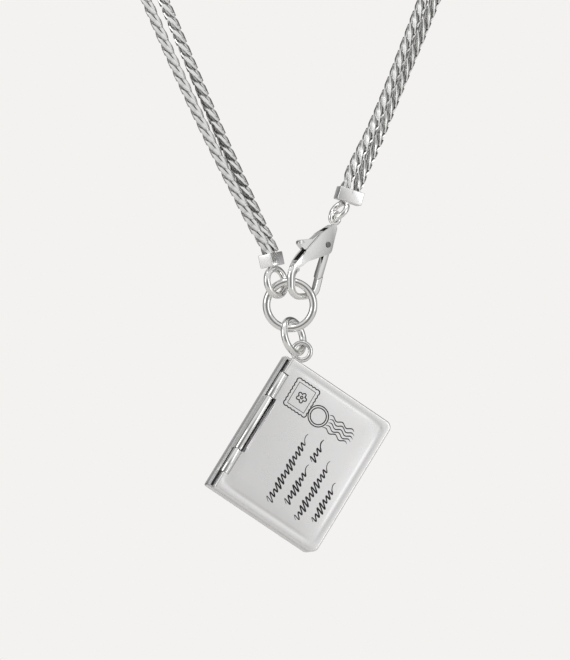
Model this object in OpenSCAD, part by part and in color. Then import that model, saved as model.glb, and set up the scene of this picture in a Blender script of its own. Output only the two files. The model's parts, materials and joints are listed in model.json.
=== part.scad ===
// Necklace with a double chain, a lobster clasp and a hinged envelope locket.
// Lengths are in millimetres. +Z is up, +X is to the viewer's right, and the front looks towards -Y.
// The origin is the nape of the neck, where the chain hangs.

/* [Where it hangs] */
// Height of the nape above the large ring's centre
nape_rise = 193; // [185:1:200]
// Distance of the nape behind the large ring's centre
nape_depth = 118; // [112:1:125]

/* [Chain] */
// Width of one strand across its flats
strand_w = 1.95; // [1.7:0.05:1.95]
// Distance between the two strands' middles where they enter a cap
strand_gap = 2.05; // [2.02:0.01:2.06]

/* [End caps] */
// Width of a cap, across both strands
cap_w = 4.5; // [4.5:0.1:5]
// Depth of a cap, across one strand
cap_d = 2.5; // [2.5:0.1:2.8]
// Height of a cap
cap_h = 2.3; // [2.2:0.1:2.8]
// Wall of a cap
cap_wall = 0.2; // [0.15:0.05:0.2]
// Radius of the left cap's ring, to the middle of its wire
left_ring_r = 2.325; // [2.25:0.025:2.4]
// Radius of the left cap ring's wire
left_wire_r = 0.6; // [0.5:0.05:0.6]
// Radius of the right cap's ring, to the middle of its wire
right_ring_r = 1.65; // [1.6:0.05:1.8]
// Radius of the right cap ring's wire
right_wire_r = 0.5; // [0.4:0.05:0.5]

/* [Rings] */
// Radius of the large ring, to the middle of its wire
large_r = 4.04; // [4.0:0.02:4.1]
// Radius of the large ring's wire
large_wire_r = 0.67; // [0.6:0.01:0.67]
// Radius of the link ring, to the middle of its wire
link_r = 2.92; // [2.88:0.02:2.94]
// Radius of the link ring's wire
link_wire_r = 0.6; // [0.55:0.01:0.6]
// Radius of the bail ring, to the middle of its wire
bail_r = 1.5; // [1.45:0.05:1.5]
// Radius of the bail ring's wire
bail_wire_r = 0.42; // [0.38:0.01:0.42]

/* [Clasp] */
// Turn of the clasp about the vertical, in degrees
clasp_turn = 40; // [38:1:42]
// Thickness of the clasp's body
clasp_t = 2.2; // [2:0.1:2.4]
// Radius of the hook's wire
hook_wire_r = 0.55; // [0.5:0.01:0.55]
// Radius of the hook's bend, to the middle of its wire
hook_bend_r = 2; // [1.95:0.05:2.05]
// Thickness of the lever
lever_t = 1.1; // [0.9:0.1:1.2]
// Radius of the pin that the lever turns on
pin_r = 0.5; // [0.4:0.05:0.5]

/* [Envelope] */
// Length of the envelope, along its hinge
env_l = 26.6; // [26:0.1:28]
// Height of the envelope, from hinge to opening edge
env_h = 22.2; // [21:0.1:23]
// Thickness of the closed envelope
env_t = 4.2; // [4:0.1:5]
// Radius of the corners on the opening edge
env_corner_r = 1.3; // [0.8:0.1:2]
// Wall around each half
env_wall = 0.75; // [0.6:0.05:0.9]
// Thickness of each half's face
env_face = 0.8; // [0.6:0.05:0.9]
// Turn of the envelope about the vertical, in degrees
env_turn = 17; // [10:1:25]
// Lean of the hinge from upright as the envelope hangs, in degrees
env_lean = 32.2; // [31:0.1:33]

/* [Hinge] */
// Outer radius of the hinge barrel
barrel_r = 0.65; // [0.6:0.01:0.65]
// Share of the hinge edge that the barrel takes
barrel_share = 0.76; // [0.6:0.02:0.8]
// Share of the hinge edge that the middle knuckle takes
knuckle_share = 0.4; // [0.3:0.02:0.5]
// Radius of the hinge pin
hinge_pin_r = 0.25; // [0.2:0.01:0.25]

/* [Hidden] */
$fn = 48;

// General clearances: between pieces that only lie side by side, and around a turning pin
gap = 0.1;
pin_gap = 0.04;
// How far soldered parts run into each other
solder = 0.2;

// The large ring's centre. Every place below is counted from it.
ring_at = [0, -nape_depth, -nape_rise];

// The left cap ring: its centre, its turn about the vertical, and how far its cap leans
left_ring_at = [-2.4, -0.3, 3.95];
left_ring_turn = 50;
left_lean = -12;
left_cap_turn = 62;

// The clasp's plane stands this far in front of the large ring's centre.
// Places in the plane are [right, up] from the large ring's centre.
clasp_y = -1.4;
// The hook: its bend's middle, the slow rise of its foot, its corner, and the straight nose
hook_at = [2.1, 3.45];
foot_r = 14;
foot_rise = 8.5;
foot_straight = 0.15;
hook_corner_r = 1.9;
nose_rise = 72;
nose_l = 1.75;
neck_r = 2.4;
neck_angle = 120;
neck_rise = 1.25;
pin_at = [7.8, 10.4];
loop_at = [10.1, 15.05];
loop_r = 0.99;
loop_wire_r = 0.38;
// The right cap ring's lean, its cap's own turn and lean, and how far the cap sits to the outer side of it
right_lean = 38;
right_cap_turn = 18;
right_cap_lean = 17;
right_cap_shift = 0.5;
// The body's outline runs round these circles, as [right, up, radius].
body_rounds = [[1.15, 6.75, 0.62], [2.6, 7.9, 0.85], [7.75, 9.9, 1.15], [7.1, 11.35, 1.25], [9.35, 13.2, 0.65]];
// The slot for the lever is this polygon.
slot_outline = [[2.2, 4], [12, 4], [12, 11.8], [9.3, 12.9], [6.9, 13.85], [4.5, 14.9], [0.2, 11.6]];
slot_gap = 0.08;
gate_tip_at = [6.32, 5.4];
gate_tip_r = 0.56;
gate_foot_z = 5;
gate_top_at = [7.95, 9.3];
gate_top_r = 0.55;
hub_r = 1;
// The lever's heel, which fills the slot between the thumb tab and the pin
heel_at = [6.9, 11.85];
heel_r = 0.7;
thumb_at = [2.3, 10.7];
thumb_r = 0.5;
thumb_lip_at = [3, 10.05];
thumb_root_at = [4.9, 10.45];
thumb_root_r = 0.95;

// The link ring leans from its place on the large ring to its place in the bail.
link_top_at = [-0.1, 0, -2.6];
link_lean = 14.4;
link_turn = 58.5;
link_at = link_top_at + link_r * [sin(link_lean), 0, -cos(link_lean)];
link_foot_at = link_top_at + 2 * link_r * [sin(link_lean), 0, -cos(link_lean)];

// The bail hangs on the link ring's foot and faces the viewer. In the envelope's own frame X runs from
// the hinge to the opening edge, Y from front to back and Z along the hinge, all from its middle.
bail_at = link_foot_at + [0.67, 0.91, 0.32];
bail_place = [-9.2, -0.7, 15.25];
bail_foot_at = [-9.15, -0.48];
bail_foot = [1.4, 0.7];

// All that hangs on the large ring swings forward by this much, until its weight is under the ring.
hang_tilt = -3.9;
hang_at = [0, 0, -large_r];

// The hinge: the barrel's axis, its clearances and the leaves that carry its knuckles. The back cover's
// rim runs past the barrel, and the front cover starts behind that rim so that it can swing by.
hinge_x = -env_h / 2 + 1.1;
hinge_y = -1.2;
hinge_rim = 1.3;
front_edge_x = -env_h / 2 + 0.8;
barrel_pocket_x = -env_h / 2 + 1.85;
knuckle_pocket_x = barrel_pocket_x + 0.35;
barrel_l = env_l * barrel_share;
knuckle_l = env_l * knuckle_share;
knuckle_gap = 0.12;
leaf_t = 0.4;
seam = 0.05;

// The middle line of the two strands between the caps, from left to right by way of the nape.
// Each row is [x, y, z], then the way from the inner strand to the outer one, then their distance.
route_rows = [
    [-5.8, -0.2, 14, -0.6, -0.8, 0, 2.2],
    [-13.5, 0.8, 30.2, -0.85, -0.5, -0.2, 2.4],
    [-23.2, 2.6, 52.4, -1, 0, -0.4, 2.7],
    [-32.6, 5.5, 75, -1, 0, -0.4, 2.7],
    [-41, 10, 98, -1, 0, -0.4, 2.7],
    [-49.5, 18, 122, -1, 0, -0.4, 2.7],
    [-57, 31, 146, -1, -0.1, -0.4, 2.6],
    [-62, 49, nape_rise - 27.5, -0.9, -0.1, -0.4, 2.5],
    [-62, 70.5, nape_rise - 14, -0.8, 0, -0.6, 2.5],
    [-54.5, nape_depth - 27, nape_rise - 6, -0.6, 0.2, -0.8, 2.5],
    [-39.5, nape_depth - 11, nape_rise - 2, -0.4, 0.3, -0.9, 2.5],
    [-20.5, nape_depth - 2.5, nape_rise, -0.2, 0.35, -0.9, 2.5],
    [0, nape_depth, nape_rise, 0, 0.35, -0.9, 2.5],
    [20.5, nape_depth - 2.5, nape_rise, 0.2, 0.35, -0.9, 2.5],
    [39.5, nape_depth - 11, nape_rise - 2, 0.4, 0.3, -0.9, 2.5],
    [54.5, nape_depth - 27, nape_rise - 6, 0.6, 0.2, -0.8, 2.5],
    [62, 70.5, nape_rise - 14, 0.8, 0, -0.6, 2.5],
    [62, 50, nape_rise - 27.5, 0.9, -0.1, -0.4, 2.5],
    [57, 34, 146, 1, 0, -0.4, 2.5],
    [49.5, 23, 122, 1, 0, -0.4, 2.5],
    [41, 17, 98, 1, 0, -0.4, 2.5],
    [32.7, 13.5, 75, 0.95, 0.2, -0.3, 2.4],
    [23.9, 11, 52.4, 0.85, 0.5, -0.2, 2.25],
    [14.6, 9, 29.4, 0.75, 0.65, 0, 2.15]
];
route_steps = 3;
strand_sides = 8;

// Unit vector along v
function unit(v) = v / norm(v);

// The part of v across the unit vector along
function across(v, along) = unit(v - (v * along) * along);

// A direction or place turned about the vertical and leant from upright, as rotate([0, lean, turn]) does
function leant(p, turn, lean) =
    let (x = p[0] * cos(lean) + p[2] * sin(lean), z = p[2] * cos(lean) - p[0] * sin(lean))
    [x * cos(turn) - p[1] * sin(turn), x * sin(turn) + p[1] * cos(turn), z];

// The caps: their axes and middles, from the rings soldered under them
left_axis = leant([0, 0, 1], 0, left_lean);
left_cap_at = left_ring_at + (left_ring_r + left_wire_r - solder + cap_h / 2) * left_axis;
right_axis = leant([0, 0, 1], clasp_turn, right_lean);
loop_place = [0, clasp_y, 0] + leant([loop_at[0], 0, loop_at[1]], clasp_turn, 0);
right_ring_at = loop_place + right_ring_r * right_axis;
right_cap_axis = leant([0, 0, 1], right_cap_turn, right_cap_lean);
right_pair = leant([1, 0, 0], right_cap_turn, right_cap_lean);
right_cap_at = right_ring_at + (right_ring_r + right_wire_r - solder) * right_axis
    + cap_h / 2 * right_cap_axis + right_cap_shift * right_pair;

// The way from the inner strand to the outer one in the left cap
left_pair = leant([-cos(left_cap_turn), -sin(left_cap_turn), 0], 0, left_lean);

// The strands start this far above a cap's middle, and leave it straight
strand_seat = 0.15;
strand_exit = 1.6;

// One row of the route: a place, the way to the outer strand, and the strands' distance
function row(place, pair) = [place[0], place[1], place[2], pair[0], pair[1], pair[2], strand_gap];

route = concat(
    [row(left_cap_at + strand_seat * left_axis, left_pair),
     row(left_cap_at + strand_exit * left_axis, left_pair)],
    route_rows,
    [row(right_cap_at + strand_exit * right_cap_axis, right_pair),
     row(right_cap_at + strand_seat * right_cap_axis, right_pair)]
);

// The distance from one row's place to the next, and the curve's slope in a row
function span(p, i) = norm([for (k = [0 : 2]) p[i + 1][k] - p[i][k]]);
function chord(p, i) = (p[i + 1] - p[i]) / span(p, i);
function slope(p, i) =
    i == 0 ? chord(p, 0) : i == len(p) - 1 ? chord(p, i - 1)
    : (chord(p, i - 1) * span(p, i) + chord(p, i) * span(p, i - 1)) / (span(p, i - 1) + span(p, i));

// A smooth curve through every row of p, with n steps to each
function smooth(p, n) = concat(
    [for (i = [0 : len(p) - 2], j = [0 : n - 1])
        let (t = j / n, s = span(p, i))
        (2 * t * t * t - 3 * t * t + 1) * p[i] + (t * t * t - 2 * t * t + t) * s * slope(p, i)
        + (3 * t * t - 2 * t * t * t) * p[i + 1] + (t * t * t - t * t) * s * slope(p, i + 1)],
    [p[len(p) - 1]]
);

curve = smooth(route, route_steps);

// The place in a row of the curve, and the direction of the curve there
function place(i) = [curve[i][0], curve[i][1], curve[i][2]];
function heading(i) = unit(place(min(i + 1, len(curve) - 1)) - place(max(i - 1, 0)));
function outward(i) = across([curve[i][3], curve[i][4], curve[i][5]], heading(i));

// A ring of points round one strand, with flats facing the other strand
function strand_ring(i, side) =
    let (out = outward(i), up = cross(heading(i), out), r = strand_w / 2 / cos(180 / strand_sides),
         middle = place(i) + side * curve[i][6] / 2 * out)
    [for (k = [0 : strand_sides - 1])
        let (a = (k + 0.5) * 360 / strand_sides) middle + r * (cos(a) * out + sin(a) * up)];

// A closed solid through rings of points, each seen clockwise from the next
module swept(rings) {
    n = len(rings[0]);
    last = len(rings) - 1;
    walls = [for (i = [0 : last - 1], k = [0 : n - 1])
        [i * n + k, i * n + (k + 1) % n, (i + 1) * n + (k + 1) % n, (i + 1) * n + k]];
    first_end = [for (k = [n - 1 : -1 : 0]) k];
    last_end = [for (k = [0 : n - 1]) last * n + k];
    polyhedron([for (r = rings) each r], concat([first_end], walls, [last_end]));
}

// One strand as a tube from cap to cap. side is 1 for the outer strand and -1 for the inner.
module strand(side) {
    swept([for (i = [0 : len(curve) - 1]) strand_ring(i, side)]);
}

// A round wire ring lying in the XY plane
module wire_ring(r, wire_r) {
    rotate_extrude() translate([r, 0]) circle(wire_r);
}

module outer_strand() {
    color("silver") translate(ring_at) strand(1);
}

module inner_strand() {
    color("gainsboro") translate(ring_at) strand(-1);
}

// A box cap with a pocket for both strands, in its own frame: the strands go in at the top
module cap() {
    difference() {
        translate([-cap_w / 2, -cap_d / 2, -cap_h / 2]) cube([cap_w, cap_d, cap_h]);
        translate([cap_wall - cap_w / 2, cap_wall - cap_d / 2, 0])
            cube([cap_w - 2 * cap_wall, cap_d - 2 * cap_wall, cap_h]);
    }
}

module left_end_cap() {
    color("lightgray") translate(ring_at) {
        translate(left_cap_at) rotate([0, left_lean, 0]) rotate([0, 0, left_cap_turn]) cap();
        translate(left_ring_at) rotate([0, left_lean, 0]) rotate([90, 0, left_ring_turn])
            wire_ring(left_ring_r, left_wire_r);
    }
}

module right_end_cap() {
    color("lightgray") translate(ring_at) {
        translate(right_cap_at) rotate([0, right_cap_lean, right_cap_turn]) cap();
        translate(right_ring_at) rotate([0, right_lean, clasp_turn]) rotate([0, 90, 0])
            wire_ring(right_ring_r, right_wire_r);
    }
}

module large_ring() {
    color("silver") translate(ring_at) rotate([90, 0, 0]) wire_ring(large_r, large_wire_r);
}

// Children that hang on the large ring, swung forward about the foot of its wire
module hanging() {
    translate(ring_at + hang_at) rotate([hang_tilt, 0, 0]) translate(-hang_at) children();
}

module link_ring() {
    color("gainsboro") hanging() translate(link_at) rotate([0, -link_lean, 0]) rotate([90, 0, link_turn])
        wire_ring(link_r, link_wire_r);
}

// Children drawn in the clasp's plane, with their thickness centred on it
module in_clasp_plane() {
    translate(ring_at + [0, clasp_y, 0]) rotate([0, 0, clasp_turn]) rotate([90, 0, 0]) children();
}

// A plate of the given thickness, centred on the plane
module plate(t) {
    translate([0, 0, -t / 2]) linear_extrude(t) children();
}

// Points along an arc in the clasp's plane
function arc(middle, r, from, to, steps) =
    [for (k = [0 : steps]) let (a = from + (to - from) * k / steps) middle + r * [cos(a), sin(a)]];

// The hook's wire: down the neck, round the bend, along the slowly rising foot and up the nose
limb_x = hook_at[0] - hook_bend_r;
foot_at = hook_at + [0, foot_r - hook_bend_r];
foot_end = foot_at + foot_r * [sin(foot_rise), -cos(foot_rise)]
    + foot_straight * [cos(foot_rise), sin(foot_rise)];
corner_at = foot_end + hook_corner_r * [-sin(foot_rise), cos(foot_rise)];
nose_foot = corner_at + hook_corner_r * [sin(nose_rise), -cos(nose_rise)];
hook_path = concat(
    arc([limb_x + neck_r, hook_at[1] + neck_rise], neck_r, neck_angle, 180, 6),
    arc(hook_at, hook_bend_r, 180, 270, 8),
    arc(foot_at, foot_r, 270 + foot_rise / 2, 270 + foot_rise, 1),
    arc(corner_at, hook_corner_r, 270 + foot_rise, 270 + nose_rise, 5),
    [nose_foot + nose_l * [cos(nose_rise), sin(nose_rise)]]
);
hook_sides = 16;

// A ring of points round the hook's wire
function hook_ring(i) =
    let (before = hook_path[max(i - 1, 0)], after = hook_path[min(i + 1, len(hook_path) - 1)],
         on = unit(after - before))
    [for (k = [0 : hook_sides - 1])
        let (a = k * 360 / hook_sides, out = hook_wire_r * sin(a))
        [hook_path[i][0] - out * on[1], hook_path[i][1] + out * on[0], hook_wire_r * cos(a)]];

module hook() {
    swept([for (i = [0 : len(hook_path) - 1]) hook_ring(i)]);
}

module clasp_body() {
    color("silver") in_clasp_plane() {
        hook();
        difference() {
            plate(clasp_t) hull() for (c = body_rounds) translate([c[0], c[1]]) circle(c[2]);
            plate(lever_t + 2 * slot_gap) polygon(slot_outline);
            translate([pin_at[0], pin_at[1], -clasp_t]) cylinder(h = 2 * clasp_t, r = pin_r + pin_gap / 2);
        }
        translate([loop_at[0], loop_at[1], 0]) wire_ring(loop_r, loop_wire_r);
    }
}

module clasp_lever() {
    color("darkgray") in_clasp_plane() difference() {
        plate(lever_t) {
            difference() {
                hull() {
                    translate(gate_top_at) circle(gate_top_r, $fn = 32);
                    translate(gate_tip_at) circle(gate_tip_r, $fn = 32);
                    translate(gate_tip_at - [0.3, 1]) circle(gate_tip_r, $fn = 32);
                }
                translate([0, gate_foot_z - 10]) square([12, 10]);
            }
            hull() {
                translate(pin_at) circle(hub_r, $fn = 32);
                translate(thumb_root_at) circle(thumb_root_r, $fn = 32);
                translate(heel_at) circle(heel_r, $fn = 32);
            }
            hull() {
                translate(thumb_root_at) circle(thumb_root_r, $fn = 32);
                translate(thumb_at) circle(thumb_r, $fn = 32);
                translate(thumb_lip_at) circle(thumb_r, $fn = 32);
            }
        }
        translate([pin_at[0], pin_at[1], -lever_t]) cylinder(h = 2 * lever_t, r = pin_r + pin_gap);
    }
}

module clasp_pin() {
    color("gray") in_clasp_plane() translate([pin_at[0], pin_at[1], -clasp_t / 2 - 0.05])
        cylinder(h = clasp_t + 0.1, r = pin_r);
}

// Children drawn in the envelope's own frame
module in_envelope() {
    hanging() translate(bail_at) rotate([0, env_lean, env_turn]) translate(-bail_place) children();
}

// A plate in the envelope's XZ plane, from one depth to another
module slab(y_front, y_back) {
    translate([0, y_back, 0]) rotate([90, 0, 0]) linear_extrude(y_back - y_front) children();
}

// The outline of one half from the hinge side x0 to the opening edge, with round corners there
module half_outline(x0, inset) {
    r = env_corner_r - inset / 2;
    x1 = env_h / 2 - inset;
    z1 = env_l / 2 - inset;
    translate([x0, -z1]) square([x1 - r - x0, 2 * z1]);
    translate([x1 - r - gap, r - z1]) square([r + gap, 2 * (z1 - r)]);
    for (side = [-1, 1]) translate([x1 - r, side * (z1 - r)]) circle(r);
}

// A length of the hinge barrel between two places along the hinge
module knuckle(z0, z1) {
    translate([hinge_x, hinge_y, z0]) cylinder(h = z1 - z0, r = barrel_r);
}

// The hole through the barrel
module hinge_bore(clearance) {
    translate([hinge_x, hinge_y, -env_l]) cylinder(h = 2 * env_l, r = hinge_pin_r + clearance);
}

module front_cover() {
    knuckle_z = knuckle_l / 2 + knuckle_gap;
    color("silver") in_envelope() difference() {
        union() {
            difference() {
                slab(-env_t / 2, -seam) half_outline(front_edge_x, 0);
                slab(env_face - env_t / 2, gap) half_outline(knuckle_pocket_x + env_wall, env_wall);
                slab(-env_t, env_t) translate([-env_h, -barrel_l / 2 - gap])
                    square([env_h + barrel_pocket_x, barrel_l + 2 * gap]);
                slab(-env_t, env_t) translate([-env_h, -knuckle_z])
                    square([env_h + knuckle_pocket_x, 2 * knuckle_z]);
            }
            for (z = [-barrel_l / 2, knuckle_z]) {
                knuckle(z, z + barrel_l / 2 - knuckle_z);
                translate([hinge_x, hinge_y - leaf_t, z])
                    cube([barrel_pocket_x - hinge_x + gap, leaf_t, barrel_l / 2 - knuckle_z]);
            }
            translate(bail_place) rotate([0, -env_lean, 0]) rotate([90, 0, -env_turn])
                wire_ring(bail_r, bail_wire_r);
            translate([bail_foot_at[0], bail_foot_at[1], env_l / 2 - solder]) translate(-bail_foot / 2)
                cube([bail_foot[0], bail_foot[1], bail_place[2] - bail_r - env_l / 2 + solder]);
        }
        hinge_bore(pin_gap / 2);
    }
}

module back_cover() {
    color("gainsboro") in_envelope() difference() {
        union() {
            difference() {
                slab(seam, env_t / 2) half_outline(-env_h / 2, 0);
                slab(-gap, env_t / 2 - env_face) half_outline(hinge_rim - env_h / 2, env_wall);
            }
            knuckle(-knuckle_l / 2, knuckle_l / 2);
            translate([hinge_x - 0.6, hinge_y, -knuckle_l / 2])
                cube([0.6, -hinge_y + seam + gap, knuckle_l]);
        }
        hinge_bore(pin_gap);
    }
}

module hinge_pin() {
    color("gray") in_envelope() translate([hinge_x, hinge_y, -barrel_l / 2])
        cylinder(h = barrel_l, r = hinge_pin_r);
}

outer_strand();
inner_strand();
left_end_cap();
right_end_cap();
large_ring();
link_ring();
clasp_body();
clasp_lever();
clasp_pin();
front_cover();
back_cover();
hinge_pin();
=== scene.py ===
"""Looks of a silver necklace: two woven square chains, a lobster clasp, wire rings and an envelope locket.

Lengths are in millimetres until a piece is placed. Places on the necklace are counted from the middle
of the large ring, as in the part's source, and the locket and the clasp have frames of their own.
"""

import json
import logging
import math
from dataclasses import dataclass, field
from enum import Enum
from typing import Callable, Iterable, Sequence

import bpy
import numpy as np
from mathutils import Matrix, Vector

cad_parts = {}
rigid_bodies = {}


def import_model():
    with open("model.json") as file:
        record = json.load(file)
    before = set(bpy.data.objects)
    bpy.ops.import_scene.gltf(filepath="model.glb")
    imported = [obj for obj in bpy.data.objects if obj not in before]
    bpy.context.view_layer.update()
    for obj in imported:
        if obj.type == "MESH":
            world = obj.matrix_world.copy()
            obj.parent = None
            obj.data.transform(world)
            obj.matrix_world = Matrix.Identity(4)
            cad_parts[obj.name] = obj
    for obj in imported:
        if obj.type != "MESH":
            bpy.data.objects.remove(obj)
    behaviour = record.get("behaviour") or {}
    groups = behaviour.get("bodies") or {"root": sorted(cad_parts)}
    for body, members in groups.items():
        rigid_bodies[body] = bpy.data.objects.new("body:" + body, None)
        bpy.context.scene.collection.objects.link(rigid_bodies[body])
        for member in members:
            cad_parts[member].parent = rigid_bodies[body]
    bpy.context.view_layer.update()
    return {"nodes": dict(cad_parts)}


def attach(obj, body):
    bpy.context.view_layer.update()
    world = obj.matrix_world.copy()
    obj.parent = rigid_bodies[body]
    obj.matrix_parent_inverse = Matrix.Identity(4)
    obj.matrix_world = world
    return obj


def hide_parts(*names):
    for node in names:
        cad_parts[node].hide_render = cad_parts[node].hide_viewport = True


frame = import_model()

MM = 0.001
# The large ring's middle, in millimetres from the nape.
RING_AT = Vector((0.0, -118.0, -193.0))
# How far a cutting tool reaches past the metal.
PAST = 1.0
# Places that are closer than this count as one place.
SAME = 1e-3
# Corners that are closer than this to a cut belong to it.
NEAR = 0.01
LOG = logging.getLogger("necklace")

Point = tuple[float, float, float]
Spot = tuple[float, float]


class Body(Enum):
    """The moving bodies that pieces ride on."""

    CHAIN = "chain"
    LEVER = "lever"
    LINK = "link"
    PENDANT = "pendant"
    LID = "lid"


class Slot(Enum):
    """The record's material slots."""

    CHAIN = "chain_silver"
    POLISHED = "polished_silver"
    SATIN = "satin_silver"
    BLACK = "black_fill"


class Axis(Enum):
    """An axis to turn about."""

    X = "X"
    Y = "Y"
    Z = "Z"


class Edge(Enum):
    """The degrees past which an edge is shaded as a crisp one, for each kind of piece."""

    COVER = 30.0
    CAP = 32.0
    PLATE = 35.0
    LINK = 40.0
    HOOK = 50.0
    WIRE = 60.0


def placed(at: Sequence[float], *turns: tuple[Axis, float]) -> Matrix:
    """Gives the matrix that puts a piece in its place on the necklace.

    Args:
        at: The place, in millimetres from the large ring's middle.
        turns: Turns in degrees, the outermost first.

    Returns:
        A matrix from millimetres in the piece's own frame to metres in the necklace's.
    """
    matrix = Matrix.Translation((RING_AT + Vector(at)) * MM)
    for axis, degrees in turns:
        matrix = matrix @ Matrix.Rotation(math.radians(degrees), 4, axis.value)
    return matrix @ Matrix.Scale(MM, 4)


def leant(p: Sequence[float], turn: float, lean: float) -> Vector:
    """Leans a direction from upright and then turns it about the vertical.

    Args:
        p: The direction or place.
        turn: Turn about the vertical, in degrees.
        lean: Lean about the Y axis, in degrees.

    Returns:
        The turned direction or place.
    """
    turning = Matrix.Rotation(math.radians(turn), 3, "Z")
    return turning @ Matrix.Rotation(math.radians(lean), 3, "Y") @ Vector(p)


def eased(share: float | np.ndarray) -> float | np.ndarray:
    """Eases a share between 0 and 1, so that it sets off and arrives gently."""
    return share * share * (3 - 2 * share)


class Bench:
    """The modelling moves that the pieces share. A piece is made in its own frame, in millimetres."""

    @staticmethod
    def clear() -> None:
        """Deselects everything, before a primitive is added."""
        for other in bpy.context.view_layer.objects:
            other.select_set(False)

    @classmethod
    def only(cls, *objects: bpy.types.Object) -> None:
        """Selects these objects and nothing else, and makes the first one active.

        Args:
            *objects: The objects.
        """
        cls.clear()
        for obj in objects:
            obj.select_set(True)
        bpy.context.view_layer.objects.active = objects[0]

    @classmethod
    def apply_place(cls, obj: bpy.types.Object) -> None:
        """Puts an object's place, turn and scale into its mesh."""
        cls.only(obj)
        bpy.ops.object.transform_apply(location=True, rotation=True, scale=True)

    @classmethod
    def added(cls, name: str) -> bpy.types.Object:
        """Takes over the primitive that was just added, with its place in its mesh.

        Args:
            name: The name that it gets.

        Returns:
            The primitive.
        """
        obj = bpy.context.object
        obj.name = name
        cls.apply_place(obj)
        return obj

    @classmethod
    def block(cls, name: str, low: Point, high: Point) -> bpy.types.Object:
        """Makes a box between two corners.

        Args:
            name: The object's name.
            low: The lowest corner.
            high: The highest corner.

        Returns:
            The box.
        """
        cls.clear()
        middle = [(a + b) / 2 for a, b in zip(low, high)]
        size = [b - a for a, b in zip(low, high)]
        bpy.ops.mesh.primitive_cube_add(size=1, location=middle, scale=size)
        return cls.added(name)

    @classmethod
    def rod(cls, name: str, foot: Point, height: float, radius: float, sides: int = 32) -> bpy.types.Object:
        """Makes a round rod that stands on its foot along the Z axis.

        Args:
            name: The object's name.
            foot: The middle of the lower end.
            height: The rod's length.
            radius: The rod's radius.
            sides: The number of faces round it.

        Returns:
            The rod.
        """
        cls.clear()
        middle = (foot[0], foot[1], foot[2] + height / 2)
        bpy.ops.mesh.primitive_cylinder_add(vertices=sides, radius=radius, depth=height, location=middle)
        return cls.added(name)

    @classmethod
    def ring(
        cls, name: str, radius: float, wire: float, turns: int = 96, sides: int = 20
    ) -> bpy.types.Object:
        """Makes a round wire ring in the XY plane, shaded smooth.

        Args:
            name: The object's name.
            radius: Radius to the middle of the wire.
            wire: Radius of the wire.
            turns: The number of faces along the wire.
            sides: The number of faces round the wire.

        Returns:
            The ring.
        """
        cls.clear()
        bpy.ops.mesh.primitive_torus_add(
            major_segments=turns, minor_segments=sides, major_radius=radius, minor_radius=wire
        )
        obj = cls.added(name)
        cls.smooth(obj, Edge.WIRE)
        return obj

    @classmethod
    def plate(cls, name: str, outline: Sequence[Spot], low: float, high: float) -> bpy.types.Object:
        """Makes a flat plate with an outline in the XY plane.

        Args:
            name: The object's name.
            outline: The outline's corners, anticlockwise.
            low: The lower face's height.
            high: The upper face's height.

        Returns:
            The plate.
        """
        cls.clear()
        bpy.ops.mesh.primitive_circle_add(vertices=len(outline), radius=1, fill_type="NGON")
        obj = bpy.context.object
        obj.name = name
        for vertex, spot in zip(obj.data.vertices, outline):
            vertex.co = (spot[0], spot[1], low)
        cls.only(obj)
        bpy.ops.object.mode_set(mode="EDIT")
        bpy.ops.mesh.select_all(action="SELECT")
        bpy.ops.mesh.extrude_region_move(TRANSFORM_OT_translate={"value": (0, 0, high - low)})
        bpy.ops.mesh.select_all(action="SELECT")
        bpy.ops.mesh.normals_make_consistent(inside=False)
        bpy.ops.object.mode_set(mode="OBJECT")
        return obj

    @classmethod
    def wire(
        cls,
        name: str,
        points: Sequence[Point],
        radius: float,
        closed: bool = False,
        roundness: int = 3,
        swell: Sequence[float] | None = None,
    ) -> bpy.types.Object:
        """Makes a round wire through points.

        Args:
            name: The object's name.
            points: The wire's middle line.
            radius: The wire's radius.
            closed: Whether the last point joins the first.
            roundness: Bevel resolution of the wire's section.
            swell: A factor on the radius at each point.

        Returns:
            The wire as a closed mesh.
        """
        curve = bpy.data.curves.new(name, "CURVE")
        curve.dimensions = "3D"
        curve.bevel_depth = radius
        curve.bevel_resolution = roundness
        curve.use_fill_caps = not closed
        spline = curve.splines.new("POLY")
        spline.points.add(len(points) - 1)
        for index, point in enumerate(points):
            spline.points[index].co = (*point, 1)
            spline.points[index].radius = swell[index] if swell else 1.0
        spline.use_cyclic_u = closed
        obj = bpy.data.objects.new(name, curve)
        bpy.context.scene.collection.objects.link(obj)
        cls.only(obj)
        bpy.ops.object.convert(target="MESH")
        obj = bpy.context.object
        cls.merge(obj, distance=1e-5)
        return obj

    @classmethod
    def sleeve(
        cls, name: str, steps: int, sides: int, place: Callable[[float, float], Point]
    ) -> bpy.types.Object:
        """Wraps a grid into a closed sleeve.

        Args:
            name: The object's name.
            steps: The number of faces along the sleeve.
            sides: The number of faces round it.
            place: Gives a place on the skin from the share along and the share round.

        Returns:
            The sleeve, closed at both ends.
        """
        cls.clear()
        bpy.ops.mesh.primitive_grid_add(x_subdivisions=steps, y_subdivisions=sides, size=1)
        obj = bpy.context.object
        obj.name = name
        for vertex in obj.data.vertices:
            vertex.co = place(vertex.co.x + 0.5, vertex.co.y + 0.5)
        cls.merge(obj, distance=1e-5)
        cls.only(obj)
        bpy.ops.object.mode_set(mode="EDIT")
        bpy.ops.mesh.select_all(action="SELECT")
        bpy.ops.mesh.fill_holes(sides=0)
        bpy.ops.mesh.select_all(action="SELECT")
        bpy.ops.mesh.normals_make_consistent(inside=False)
        bpy.ops.object.mode_set(mode="OBJECT")
        return obj

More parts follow.
